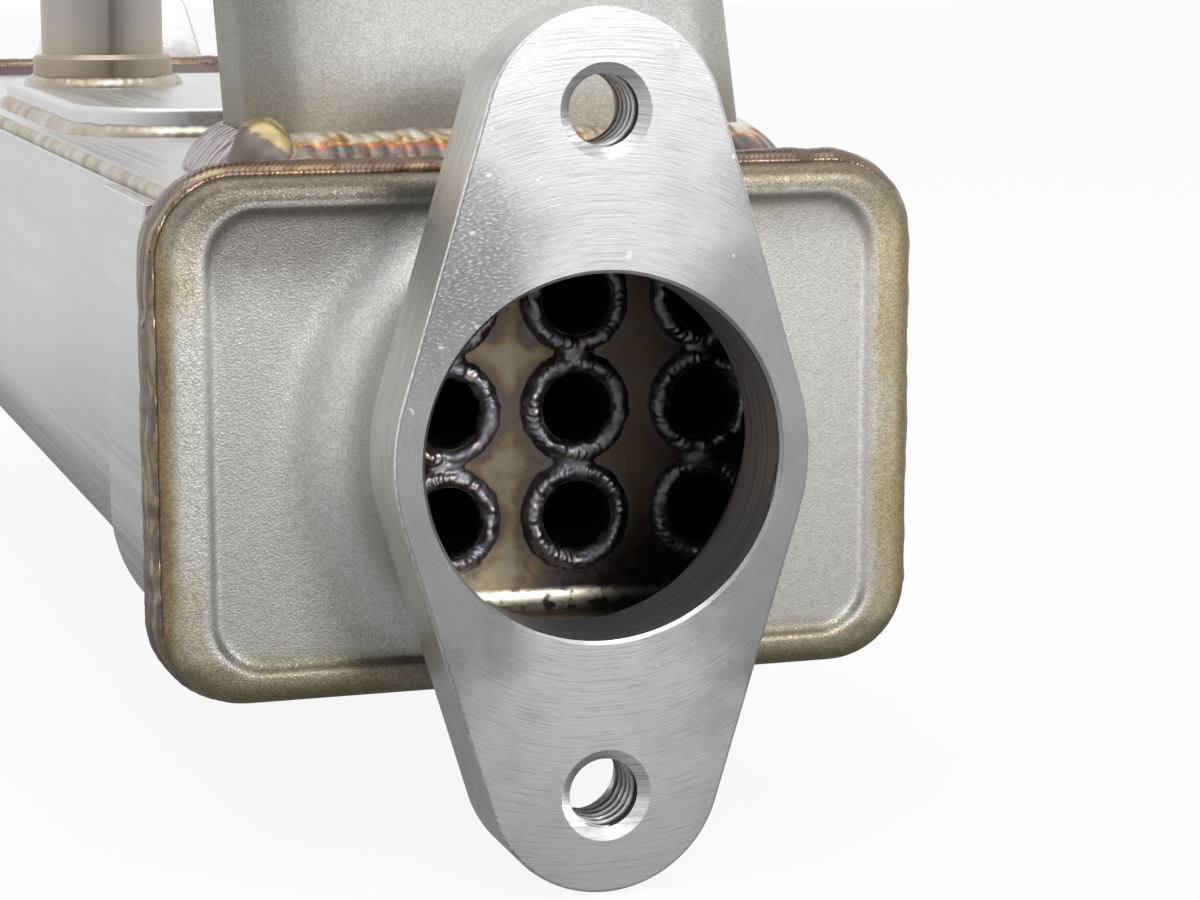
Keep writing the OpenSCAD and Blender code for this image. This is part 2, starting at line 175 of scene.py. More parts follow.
tube_steel, shader, place = new_finish("drawn_tube_steel", 1.0, 0.45)
along = axes_of(place)["Y"]
from_end = minus(body_len / 2, size_of(minus(along, body_len / 2)))
soot = mottle(place, 500.0, Detail=4.0)
soot_depth = spread(plus(from_end, times(soot, 4 * mm)), 31 * mm, 37 * mm)
paint(shader, mixed(soot_depth, (0.12, 0.10, 0.09), (0.02, 0.018, 0.017)))
dull_by(shader, spread(soot_depth, 0, 1, 0.4, 0.85))
for tube in tubes:
    wear(tube, tube_steel)


# Baffles: three plates blanked from stainless sheet, threaded over the tubes.
# They hold the bundle and turn the coolant from side to side.
baffle_steel, shader, place = new_finish("baffle_steel", 1.0, 0.4)
rolled = mottle(place, 260.0, Detail=5.0)
paint(shader, mixed(rolled, (0.40, 0.40, 0.39), (0.55, 0.55, 0.54)))
dull_by(shader, spread(rolled, 0.3, 0.7, 0.34, 0.5))
for row in ("front", "middle", "rear"):
    wear("baffle_" + row, baffle_steel)


# Tube sheets: stainless pans pressed with a lip, a skirt and a floor that is punched for the tubes.
# Welding has run heat colours over the floor: straw, gold and brown that darken towards each tube.
columns = 4
tube_boxes = [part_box(tube) for tube in tubes]
tube_centres = [(low + high) / 2 for low, high in tube_boxes]
column_pitch = tube_centres[1].x - tube_centres[0].x
row_pitch = tube_centres[columns].z - tube_centres[0].z
tube_r = (tube_boxes[0][1].x - tube_boxes[0][0].x) / 2

HEAT_COLOURS = (
    (0.00, (0.56, 0.55, 0.52)),
    (0.22, (0.50, 0.44, 0.30)),
    (0.42, (0.36, 0.25, 0.10)),
    (0.58, (0.20, 0.13, 0.08)),
    (0.72, (0.17, 0.12, 0.14)),
    (0.86, (0.22, 0.22, 0.29)),
    (1.00, (0.25, 0.25, 0.26)),
)
heat_tint = bpy.data.node_groups.new("heat_tint", "ShaderNodeTree")
heat_tint.interface.new_socket("Heat", in_out="INPUT", socket_type="NodeSocketFloat")
heat_tint.interface.new_socket("Colour", in_out="OUTPUT", socket_type="NodeSocketColor")
heat_in = heat_tint.nodes.new("NodeGroupInput")
heat_out = heat_tint.nodes.new("NodeGroupOutput")
oxide = heat_tint.nodes.new("ShaderNodeValToRGB")
stops = oxide.color_ramp.elements
while len(stops) < len(HEAT_COLOURS):
    stops.new(0.5)
for stop, (position, colour) in zip(stops, HEAT_COLOURS):
    stop.position = position
    stop.color = (*colour, 1)
heat_tint.links.new(heat_in.outputs["Heat"], oxide.inputs["Fac"])
heat_tint.links.new(oxide.outputs["Color"], heat_out.inputs["Colour"])


def tinted(heat):
    """Oxide colour that a heat from 0 to 1 leaves on stainless steel."""
    group = tree_of(heat).nodes.new("ShaderNodeGroup")
    group.node_tree = heat_tint
    plug(group.inputs["Heat"], heat)
    return group.outputs["Colour"]


def swing(tone, span):
    """Turns an uneven tone about 0.5 into a shift about 0."""
    return times(minus(tone, 0.5), span)


def distance(*ways):
    """How far a step goes, from its parts along each axis."""
    total = 0.0
    for way in ways:
        total = plus(total, math_of("POWER", way, 2.0))
    return math_of("SQRT", total)


def relief(shader, strength, depth, height):
    """Raises fine relief on a finish."""
    plug(shader.inputs["Normal"], add("Bump", Strength=strength, Distance=depth, Height=height))


tube_sheet_steel, shader, place = new_finish("tinted_tube_sheet", 1.0, 0.35)
x, y, z = axes_of(place)
off_centre = []
for axis, pitch, first in ((x, column_pitch, tube_centres[0].x), (z, row_pitch, tube_centres[0].z)):
    count = math_of("DIVIDE", minus(axis, first), pitch)
    part = minus(count, math_of("ROUND", count))
    off_centre.append(times(part, pitch))
blotch = mottle(place, 260.0, Detail=4.0, Distortion=0.5)

# Oxide colours run outwards from each tube; a dark mix dims the floor, and painted shade darkens and browns
# it towards the right
wavy_reach = plus(distance(*off_centre), swing(blotch, 6.5 * mm))
sheet_heat = spread(wavy_reach, 5.4 * mm, 9.0 * mm, 0.74, 0.16)
right_shade_heat = spread(x, -4 * mm, 18 * mm, 0.0, 0.3)
dark_mix = spread(x, -14 * mm, 0, 0.45, 0.62)
floor_tint = mixed(dark_mix, tinted(plus(sheet_heat, right_shade_heat)), (0.085, 0.078, 0.07))
brown_right_shade = spread(x, -2 * mm, 12 * mm, 0.0, 0.75)
floor_tint = mixed(brown_right_shade, floor_tint, (0.10, 0.075, 0.062))

# Painted reflection of pale gold above the lower bend at the left, and a painted highlight on the bend
# itself at the left, except where something has splashed on it
pan_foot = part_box("shell_trough")[0].z + 3.3 * mm
bend_reflection = times(spread(z, pan_foot + 8.5 * mm, pan_foot + 3.5 * mm), spread(x, 6 * mm, -8 * mm, 0.0, 0.85))
bend_reflection = times(bend_reflection, spread(blotch, 0.3, 0.55))
floor_tint = mixed(bend_reflection, floor_tint, (0.70, 0.61, 0.43))
wavy_z = plus(z, swing(blotch, 1.2 * mm))
bend = times(spread(wavy_z, pan_foot + 2.6 * mm, pan_foot + 1.9 * mm),
             spread(wavy_z, pan_foot + 0.1 * mm, pan_foot + 0.5 * mm))
splash = mottle(place, 700.0, Detail=3.0)
bend_highlight = times(spread(x, 13 * mm, 6 * mm), spread(splash, 0.62, 0.5))
floor_tint = mixed(times(bend, bend_highlight), floor_tint, (0.90, 0.84, 0.68))

# The skirt below the bend, painted paler on the left where light falls and darker to the right as painted
# shade
skirt = spread(z, pan_foot + 0.4 * mm, pan_foot)
skirt_lit_and_shaded = mixed(spread(x, -8 * mm, 10 * mm), (0.62, 0.53, 0.40), (0.24, 0.20, 0.16))
paint(shader, mixed(skirt, floor_tint, skirt_lit_and_shaded))
sheet_grain = mottle(place, 1500.0, Detail=2.0)
dull_by(shader, spread(sheet_grain, 0.3, 0.7, 0.3, 0.44))
relief(shader, 0.3, 0.05 * mm, sheet_grain)
for end in ("inlet", "outlet"):
    wear(f"gas_{end}_tube_sheet", tube_sheet_steel)


# Ring welds: a bead laid by hand round every tube end, on the gas side of the tube sheet.
# The metal froze in small uneven scales and went gunmetal grey, with a faint purple sheen.
ring_floor_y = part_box("gas_inlet_ring_welds")[1].y
ring_r = tube_r + 0.1 * mm
web_size = Vector((2.3, 1.25, 1.7)) * mm


def deselect():
    """Leaves edit mode with nothing selected."""
    if bpy.context.object and bpy.context.object.mode != "OBJECT":
        bpy.ops.object.mode_set(mode="OBJECT")
    bpy.ops.object.select_all(action="DESELECT")


def take(piece):
    """Selects one piece alone and makes it the active one."""
    deselect()
    bpy.context.view_layer.objects.active = piece
    piece.select_set(True)


def clean_skin(piece):
    """Merges doubles and turns the faces outwards."""
    take(piece)
    bpy.ops.object.mode_set(mode="EDIT")
    bpy.ops.mesh.select_all(action="SELECT")
    bpy.ops.mesh.remove_doubles(threshold=1e-6)
    bpy.ops.mesh.normals_make_consistent(inside=False)
    bpy.ops.object.mode_set(mode="OBJECT")


def lay_bead(name, route, length, half_w, rise, root, ripple, pitch, seed, closed=True,
             step=0.25 * mm, across=18, skew=0.6, wander=0.12, patchy=0.0, lumps=0.0):
    """Wraps a grid into a weld bead along a route, with the frozen ripples standing on its skin.
    route(s) gives a point on the joint, the direction across the bead and the direction it stands."""
    deselect()
    steps = round(length / step)
    bpy.ops.mesh.primitive_grid_add(x_subdivisions=steps, y_subdivisions=across, size=1)
    bead = bpy.context.object
    bead.name = name
    for vertex in bead.data.vertices:
        s = (vertex.co.x + 0.5) * length
        angle = (vertex.co.y + 0.5) * 2 * math.pi
        point, side, up = route(s % length if closed else s)
        loop = s / length * 2 * math.pi
        if closed:
            drift = Vector((math.cos(loop), math.sin(loop), seed)) * (length / (14 * mm))
            taper = 1.0
        else:
            drift = Vector((s / (6 * mm), 0, seed))
            taper = min(1.0, math.sqrt(max(0.0, min(s, length - s)) / (2 * half_w)))
        girth = taper * (1 + wander * noise.noise(drift))
        out = math.sin(angle)
        lap = s + skew * pitch * math.cos(angle) ** 2 + 0.4 * pitch * noise.noise(drift * 2.3)
        calm = patchy * (0.5 + noise.noise(drift * 1.3 + Vector((3.0, 1.0, 7.0))))
        lively = 1 - max(0.0, min(1.0, calm))
        scale = ripple * lively * (abs(math.sin(math.pi * lap / pitch)) ** 0.7 - 0.6)
        height = (rise + scale) * girth * out if out > 0 else root * out * girth
        width = (half_w + 0.5 * scale) * girth * math.cos(angle)
        place = point + side * width + up * height
        swelling = lumps * noise.noise(place / (1.1 * mm)) if out > 0 else 0
        vertex.co = place + (up * out + side * math.cos(angle)) * swelling
    clean_skin(bead)
    bpy.ops.object.shade_smooth()
    return bead


def apply(piece, kind, **settings):
    """Adds a modifier and applies it."""
    take(piece)
    modifier = piece.modifiers.new(kind.lower(), kind)
    for name, value in settings.items():
        setattr(modifier, name, value)
    bpy.ops.object.modifier_apply(modifier=modifier.name)


def cast_skin(piece, voxel, passes):
    """Melts a carved shape into one soft cast skin."""
    take(piece)
    piece.data.remesh_voxel_size = voxel
    bpy.ops.object.voxel_remesh()
    apply(piece, "SMOOTH", factor=0.5, iterations=passes)
    take(piece)
    bpy.ops.object.shade_smooth()


def ring_route(centre, radius, face_y, up):
    """Route round a circle that lies across the body."""
    def at(s):
        turn = s / radius
        outward = Vector((math.cos(turn), 0, math.sin(turn)))
        return Vector((centre.x, face_y, centre.z)) + outward * radius, outward, up
    return at


def joined(name, pieces):
    """Joins pieces into the first and names it."""
    deselect()
    for piece in pieces:
        piece.select_set(True)
    bpy.context.view_layer.objects.active = pieces[0]
    bpy.ops.object.join()
    pieces[0].name = name
    return pieces[0]


def fit(piece, material, slot, *replaced):
    """Finishes a new piece: its material, and where it belongs."""
    piece.data.materials.clear()
    piece.data.materials.append(material)
    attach(piece, "root")
    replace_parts(piece, *replaced)


to_outlet = Matrix.Translation((0, body_len, 0)) @ Matrix.Rotation(math.pi, 4, "Z")


def copied(piece, name, move):
    """The same piece once more, moved in its mesh."""
    other = piece.copy()
    other.data = piece.data.copy()
    other.name = name
    other.data.transform(move)
    bpy.context.scene.collection.objects.link(other)
    return other


def copy_to_outlet(piece, name, slot, *replaced):
    """The same piece at the other end of the body, turned half round."""
    other = copied(piece, name, to_outlet)
    other.pop("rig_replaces", None)
    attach(other, "root")
    if replaced:
        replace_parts(other, *replaced)
    return other


ring_metal, shader, place = new_finish("ring_weld_metal", 1.0, 0.3)
patch = mottle(place, 420.0, Detail=4.0, Distortion=0.6)
ring_heat = spread(patch, 0.32, 0.68, 0.55, 1.0)
ring_tone = mixed(0.6, tinted(ring_heat), (0.36, 0.35, 0.375))
# Painted shade: the rings darken towards the right
ring_right_shade = spread(axes_of(place)["X"], -2 * mm, 14 * mm, 0.0, 0.6)
paint(shader, mixed(ring_right_shade, ring_tone, (0.10, 0.10, 0.11)))
slag = mottle(place, 1300.0, Detail=3.0)
dull_by(shader, spread(patch, 0.3, 0.7, 0.3, 0.6))
relief(shader, 0.5, 0.1 * mm, slag)

rings = []
for number, centre in enumerate(tube_centres):
    route = ring_route(centre, ring_r, ring_floor_y, Vector((0, -1, 0)))
    rings.append(lay_bead("ring", route, 2 * math.pi * ring_r, half_w=1.15 * mm, rise=1.4 * mm,
                          root=0.3 * mm, ripple=0.28 * mm, pitch=0.8 * mm, seed=number * 7.3,
                          step=0.12 * mm, across=26, skew=1.2, wander=0.16, patchy=0.85, lumps=0.24 * mm))
    # A web of weld metal bridges the gap to the ring in the next row
    if number + columns < len(tube_centres):
        deselect()
        bpy.ops.mesh.primitive_uv_sphere_add(segments=32, ring_count=20, radius=1)
        web = bpy.context.object
        middle = Vector((centre.x, ring_floor_y, centre.z + row_pitch / 2))
        for vertex in web.data.vertices:
            lump = 1 + 0.2 * noise.noise(vertex.co * 1.5 + Vector((0, 0, number)))
            vertex.co = middle + vertex.co * web_size * lump
        bpy.ops.object.shade_smooth()
        rings.append(web)
ring_welds = joined("inlet_ring_welds", rings)
cast_skin(ring_welds, 0.21 * mm, 1)
fit(ring_welds, ring_metal, "weld_metal", "gas_inlet_ring_welds")
copy_to_outlet(ring_welds, "outlet_ring_welds", "weld_metal", "gas_outlet_ring_welds")


# Shell trough and bands: one stainless sheet bent into a deep U with large lower corners.
# A doubler band is welded round each end, and the bare sheet has a smooth satin roll finish.
trough_r = 16.5 * mm
sheet_t = 1.5 * mm


def block(name, low, high):
    """A box between two corners, with its place in its mesh."""
    deselect()
    low, high = Vector(low), Vector(high)
    bpy.ops.mesh.primitive_cube_add(size=1, location=(low + high) / 2, scale=high - low)
    piece = bpy.context.object
    piece.name = name
    bpy.ops.object.transform_apply(location=True, rotation=True, scale=True)
    return piece


def pick(piece, edges=None, faces=None):
    """Opens a piece and selects the edges or faces that a test on their middle and direction names."""
    take(piece)
    bpy.ops.object.mode_set(mode="EDIT")
    bpy.ops.mesh.select_mode(type="EDGE" if edges else "FACE")
    bpy.ops.mesh.select_all(action="DESELECT")
    bpy.ops.object.mode_set(mode="OBJECT")
    points = piece.data.vertices
    if edges:
        for edge in piece.data.edges:
            a, b = (points[i].co for i in edge.vertices)
            edge.select = bool(edges((a + b) / 2, (b - a).normalized()))
    else:
        for face in piece.data.polygons:
            face.select = bool(faces(face.center, face.normal))
    bpy.ops.object.mode_set(mode="EDIT")


def round_off(piece, edges, width, segments):
    """Rounds the edges that the test names."""
    pick(piece, edges=edges)
    bpy.ops.mesh.bevel(offset=width, segments=segments, affect="EDGES", clamp_overlap=False)
    bpy.ops.object.mode_set(mode="OBJECT")


def smooth(piece, angle=35):
    """Smooths the round stretches and keeps flat faces flat."""
    take(piece)
    bpy.ops.object.shade_smooth_by_angle(angle=math.radians(angle))
    apply(piece, "WEIGHTED_NORMAL", keep_sharp=True)


def carve(piece, tool, operation="DIFFERENCE"):
    """Cuts a tool out of a piece, or welds it on, and removes the tool."""
    apply(piece, "BOOLEAN", object=tool, operation=operation, solver="EXACT")
    bpy.data.objects.remove(tool)


def lower_edge(mid, way):
    """Picks the lower edges that run along the body."""
    return abs(way.y) > 0.9 and mid.z < 0


def break_edges(piece, width, segments):
    """Takes the sharpness off all edges."""
    apply(piece, "BEVEL", width=width, segments=segments, limit_method="ANGLE", angle_limit=math.radians(60))


def bent_sheet(name, low, high, corner_r, thickness):
    """A sheet bent into a U that opens upwards, with its inside left hollow."""
    piece = block(name, low, high)
    round_off(piece, lower_edge, corner_r, 16)
    pick(piece, faces=lambda mid, way: way.z > 0.9 or abs(way.y) > 0.9)
    bpy.ops.mesh.delete(type="FACE")
    bpy.ops.object.mode_set(mode="OBJECT")
    apply(piece, "SOLIDIFY", thickness=thickness, offset=-1)
    break_edges(piece, 0.25 * mm, 2)
    smooth(piece)
    return piece


satin_sheet, shader, place = new_finish("satin_rolled_sheet", 1.0, 0.36)
stretched = add("Mapping", Vector=place, Scale=(1400.0, 12.0, 1400.0))
rolling = mottle(stretched, 1.0, Detail=4.0)
cloudy = mottle(place, 45.0, Detail=3.0)
sheet_tone = mixed(rolling, (0.68, 0.68, 0.685), (0.72, 0.72, 0.725))
paint(shader, mixed(spread(cloudy, 0.35, 0.7, 0.0, 0.35), sheet_tone, (0.63, 0.63, 0.63)))
dull_by(shader, spread(rolling, 0.3, 0.7, 0.3, 0.44))
relief(shader, 0.06, 0.02 * mm, rolling)

trough = bent_sheet("shell_trough_sheet", *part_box("shell_trough"), trough_r, sheet_t)
fit(trough, satin_sheet, "sheet_steel", "shell_trough")
band_low, band_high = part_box("shell_band_front")
band = block("front_doubler_band", band_low, band_high)
round_off(band, lower_edge, trough_r - mm, 16)
trough_low, trough_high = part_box("shell_trough")
core = block("core", (trough_low.x, band_low.y - mm, trough_low.z),
             (trough_high.x, band_high.y + mm, band_high.z + mm))
round_off(core, lower_edge, trough_r, 16)
carve(band, core)
break_edges(band, 0.3 * mm, 2)
smooth(band)
fit(band, satin_sheet, "sheet_steel", "shell_band_front")
copy_to_outlet(band, "rear_doubler_band", "sheet_steel", "shell_band_rear")


# Shell lid: a flat stainless sheet laid on the trough and welded along both long edges.
# Each corner weld is a narrow machine-laid bead with fine close ripples.
wear("shell_lid", satin_sheet)
lid_low, lid_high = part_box("shell_lid")

lid_weld_metal, shader, place = new_finish("lid_weld_metal", 1.0, 0.32)
patch = mottle(place, 160.0, Detail=4.0)
straw = tinted(spread(patch, 0.3, 0.7, 0.0, 0.5))
paint(shader, mixed(0.5, straw, (0.50, 0.49, 0.47)))
dull_by(shader, spread(patch, 0.3, 0.7, 0.28, 0.44))


def edge_route(x, y_start, z):
    """Route along the body at the corner between lid and trough."""
    lean = Vector((math.copysign(1, x), 0, 1)).normalized()
    side = Vector((math.copysign(1, x), 0, -1)).normalized()

    def at(s):
        return Vector((x, y_start + s, z)), side, lean
    return at


lid_beads = []
for side in (-1, 1):
    route = edge_route(side * (lid_high.x - 0.1 * mm), lid_low.y, lid_high.z - 0.9 * mm)
    lid_beads.append(lay_bead("lid_bead", route, lid_high.y - lid_low.y, half_w=0.95 * mm, rise=0.75 * mm,
                              root=0.4 * mm, ripple=0.09 * mm, pitch=1.1 * mm, seed=side, closed=False,
                              step=0.3 * mm, across=12))
lid_welds = joined("lid_corner_welds", lid_beads)
fit(lid_welds, lid_weld_metal, "weld_metal", "shell_lid_welds")


# End caps: shallow stainless trays cast with a raised round rim, a panel and a short neck.
# They were bead blasted, and the heat of the seam weld has left gold and brown on the rim.
cap_low, cap_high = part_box("gas_inlet_cap")
cap_x, cap_z = cap_high.x, cap_high.z
seam_y = cap_high.y
neck_y = cap_low.y
flange_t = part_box("gas_inlet_flange")[1].y
bore_r = mounts["gas_inlet_bore"]["dims"]["r_mm"] * mm
panel_y = neck_y + 9 * mm
crest_y = panel_y - 0.5 * mm
cap_corner_r = 8.5 * mm
cap_wall = 2.2 * mm
neck_inner_r = bore_r + 0.3 * mm
neck_r = neck_inner_r + 2.5 * mm
neck_flare = 4 * mm
swell_r = 7 * mm
rim_side = 4.75 * mm
rim_top = 3.2 * mm
recess_r = 5.5 * mm
hair = 0.01 * mm


def lengthwise(mid, way):
    """Picks the edges that run along the body."""
    return abs(way.y) > 0.9


def bar(name, radius, start, end, vertices=96, end_radius=None):
    """A round bar or taper between two points."""
    deselect()
    start, end = Vector(start), Vector(end)
    way = end - start
    bpy.ops.mesh.primitive_cone_add(
        vertices=vertices, radius1=radius, radius2=radius if end_radius is None else end_radius,
        depth=way.length, location=(start + end) / 2, rotation=way.to_track_quat("Z", "Y").to_euler())
    piece = bpy.context.object
    piece.name = name
    bpy.ops.object.transform_apply(location=True, rotation=True, scale=True)
    return piece


def turned(name, centre, rings, vertices=64):
    """Turns a closed profile of (radius, height) rings, each drawn out of the one before."""
    deselect()
    radius, height = rings[0]
    bpy.ops.mesh.primitive_circle_add(vertices=vertices, radius=radius,
                                      location=(centre.x, centre.y, height))
    piece = bpy.context.object
    piece.name = name
    bpy.ops.object.transform_apply(location=True, rotation=True, scale=True)
    bpy.ops.object.mode_set(mode="EDIT")
    bpy.ops.mesh.select_all(action="SELECT")
    for new_radius, new_height in rings[1:] + rings[:1]:
        bpy.ops.mesh.extrude_edges_move(TRANSFORM_OT_translate={"value": (0, 0, new_height - height)})
        grow = new_radius / radius
        bpy.ops.transform.resize(value=(grow, grow, 1), center_override=(centre.x, centre.y, new_height))
        radius, height = new_radius, new_height
    bpy.ops.object.mode_set(mode="OBJECT")
    clean_skin(piece)
    return piece


cap = block("gas_inlet_end_cap", (-cap_x, crest_y, -cap_z), (cap_x, seam_y, cap_z))
round_off(cap, lengthwise, cap_corner_r, 12)
round_off(cap, lambda mid, way: mid.y < crest_y + hair, 1.9 * mm, 6)
panel_x, panel_z = cap_x - rim_side, cap_z - rim_top
draft = 0.9 * mm
spare = 0.3 * mm
recess = block("recess", (-panel_x - spare, crest_y - spare, -panel_z - spare),
               (panel_x + spare, panel_y, panel_z + spare))
round_off(recess, lengthwise, recess_r, 12)
pick(recess, faces=lambda mid, way: way.y > 0.9)
drawn_in = (1 - draft / panel_x, 1, 1 - draft / panel_z)
bpy.ops.transform.resize(value=drawn_in, center_override=(0, panel_y, 0))
bpy.ops.object.mode_set(mode="OBJECT")
round_off(recess, lambda mid, way: mid.y > panel_y - hair, 0.4 * mm, 4)
carve(cap, recess)
neck_inside = neck_inner_r - 2 * mm
swell = [(neck_r + swell_r * (1 - math.cos(turn)), panel_y - swell_r * (1 - math.sin(turn)))
         for turn in (math.radians(9 * step) for step in range(11))]
neck = turned("neck", Vector(), [(neck_inside, neck_y), (neck_r, neck_y), *swell,
                                 (neck_r + swell_r, panel_y + mm), (neck_inside, panel_y + mm)], 128)
neck.data.transform(Matrix.Rotation(-math.pi / 2, 4, "X"))
hollow_x, hollow_z = cap_x - cap_wall, cap_z - cap_wall
chamber_y = panel_y + cap_wall
past_seam_y = seam_y + 5 * mm
inside = block("inside", (-hollow_x, 0, -hollow_z), (hollow_x, seam_y, hollow_z))
carve(neck, inside, "INTERSECT")
carve(cap, neck, "UNION")
hollow = block("hollow", (-hollow_x, chamber_y, -hollow_z), (hollow_x, past_seam_y, hollow_z))
round_off(hollow, lengthwise, cap_corner_r - cap_wall, 8)
carve(cap, hollow)
wide_r = neck_inner_r + neck_flare
before_y = neck_y - 2 * mm
narrow_r = wide_r - neck_flare * (chamber_y - before_y) / (chamber_y - neck_y)
carve(cap, bar("gas_way", narrow_r, (0, before_y, 0), (0, chamber_y, 0), 128, wide_r))
carve(cap, bar("gas_way", wide_r, (0, chamber_y - 0.5 * mm, 0), (0, past_seam_y, 0), 128))
cast_skin(cap, 0.48 * mm, 4)

blast_grain = bpy.data.node_groups.new("blast_grain", "ShaderNodeTree")
blast_grain.interface.new_socket("Place", in_out="INPUT", socket_type="NodeSocketVector")
blast_grain.interface.new_socket("Grains per metre", in_out="INPUT", socket_type="NodeSocketFloat")
blast_grain.interface.new_socket("Height", in_out="OUTPUT", socket_type="NodeSocketFloat")
blast_grain.interface.new_socket("Glint", in_out="OUTPUT", socket_type="NodeSocketFloat")
grain_in = blast_grain.nodes.new("NodeGroupInput")
grain_out = blast_grain.nodes.new("NodeGroupOutput")
grain_place = grain_in.outputs["Place"]
grains = grain_in.outputs["Grains per metre"]
pits = mottle(grain_place, grains, Detail=2.0, Roughness=0.65)
swells = mottle(grain_place, times(grains, 0.31), Detail=2.0)
plug(grain_out.inputs["Height"], plus(pits, swing(swells, 0.3)))
plug(grain_out.inputs["Glint"], spread(pits, 0.55, 0.68))


def grained(place, grains):
    """Height and glint of a bead-blasted skin."""
    group = tree_of(place).nodes.new("ShaderNodeGroup")
    group.node_tree = blast_grain
    plug(group.inputs["Place"], place)
    plug(group.inputs["Grains per metre"], grains)
    return group.outputs["Height"], group.outputs["Glint"]


def grey(value):
    """A colour of equal parts."""
    return add("CombineXYZ", value, value, value)


blasted_cap, shader, place = new_finish("blasted_cap_steel", 1.0, 0.42)
x, y, z = axes_of(place)
depth = minus(body_len / 2, size_of(minus(y, body_len / 2)))
cloud = mottle(place, 190.0, Detail=3.0)
height, glint = grained(place, 4200.0)

# How far a point lies from the edge of the recess: below 0 on the panel, above 0 on the rim
past = [minus(size_of(axis), half - recess_r) for axis, half in ((x, panel_x), (z, panel_z))]
outside = distance(*(math_of("MAXIMUM", value, 0.0) for value in past))
within = math_of("MINIMUM", math_of("MAXIMUM", *past), 0.0)
from_recess = plus(outside, minus(within, recess_r))

# Heat of the seam weld, which runs in over the rim from the cap's edge
inset_x = minus(cap_x, size_of(x))
inset_z = minus(cap_z, size_of(z))
inset = math_of("SMOOTH_MIN", inset_x, inset_z, 6 * mm)
from_seam = plus(inset, times(minus(seam_y, depth), 0.55))
edge_heat = spread(from_seam, 2.4 * mm, 4.8 * mm, 0.56, 0.05)
inner_heat = spread(from_seam, 7.0 * mm, 9.4 * mm, 1.0, 0.0)
patches = spread(cloud, 0.36, 0.72, -0.04, 0.09)
side = minus(spread(x, 34 * mm, 38 * mm, 0.0, 0.12), spread(x, -30 * mm, -35 * mm, 0.0, 0.09))
rim_heat = times(inner_heat, plus(plus(edge_heat, patches), side))
scale_film = spread(rim_heat, 0.1, 0.5, 0.0, 0.45)
skin = mixed(scale_film, tinted(rim_heat), (0.20, 0.185, 0.15))

# Gold on the rim: at the left corners, down the right side and along the right of the top
corners = times(spread(x, -24 * mm, -31 * mm), spread(size_of(z), 10 * mm, 17 * mm))
top_right = times(spread(x, 8 * mm, 16 * mm), spread(z, 19 * mm, 21.5 * mm))
right_half = math_of("MAXIMUM", spread(x, 32 * mm, 35 * mm), top_right)
on_rim = times(spread(from_recess, 0.3 * mm, 1.3 * mm), spread(from_recess, 5.0 * mm, 3.0 * mm))
gilded = times(math_of("MAXIMUM", corners, right_half), on_rim)
gilded = times(gilded, spread(cloud, 0.3, 0.65, 0.3, 0.7))
skin = mixed(gilded, skin, (0.44, 0.37, 0.22))

# Dark brown along the upper and lower edges, part heat colour and part painted shade, with a painted
# highlight along the upper crest
near_front = spread(depth, panel_y - 6 * mm, panel_y - 2.2 * mm)
off_crest = size_of(minus(from_recess, 0.4 * mm))
crest_highlight = times(spread(z, 12 * mm, 18 * mm), spread(off_crest, 0.5 * mm, 0.1 * mm))
top_edge_heat_and_shade = times(near_front, spread(z, 17 * mm, 24.5 * mm, 0.0, 0.9))
top_edge_heat_and_shade = times(top_edge_heat_and_shade, spread(x, 5 * mm, 20 * mm, 1.0, 0.7))
top_edge_heat_and_shade = times(top_edge_heat_and_shade, spread(crest_highlight, 0, 1, 1.0, 0.4))
skin = mixed(top_edge_heat_and_shade, skin, (0.15, 0.13, 0.105))
bottom_edge_heat_and_shade = times(near_front, spread(z, -21 * mm, -23 * mm, 0.0, 0.85))
skin = mixed(bottom_edge_heat_and_shade, skin, (0.26, 0.225, 0.15))

# Painted shade at the upper left of the panel, and painted light on the neck at the left
wavy_z = plus(z, swing(cloud, 7 * mm))
panel_top_shade = times(spread(wavy_z, 11 * mm, 19 * mm), spread(from_recess, 0.2 * mm, -0.5 * mm))
panel_top_shade = times(panel_top_shade, spread(x, -12 * mm, 14 * mm, 0.8, 0.15))
skin = mixed(panel_top_shade, skin, (0.24, 0.225, 0.21))
from_axis = distance(x, z)
neck_painted_light = times(spread(from_axis, 31 * mm, 23 * mm), spread(x, -8 * mm, -16 * mm, 0.0, 0.48))
skin = mixed(neck_painted_light, skin, (0.98, 0.98, 0.97))

# The step between rim and panel: painted light at the sides and painted shade along the bottom
off_step = size_of(plus(from_recess, 0.45 * mm))
lit_step = times(spread(off_step, 0.9 * mm, 0.2 * mm), spread(size_of(x), 30 * mm, 34 * mm, 0.0, 0.55))
lit_step = times(lit_step, spread(z, 20 * mm, 14 * mm))
skin = mixed(lit_step, skin, (0.95, 0.95, 0.94))
step_shade = times(spread(off_step, 0.7 * mm, 0.2 * mm), spread(z, -17 * mm, -21 * mm, 0.0, 0.75))
skin = mixed(step_shade, skin, (0.10, 0.088, 0.06))

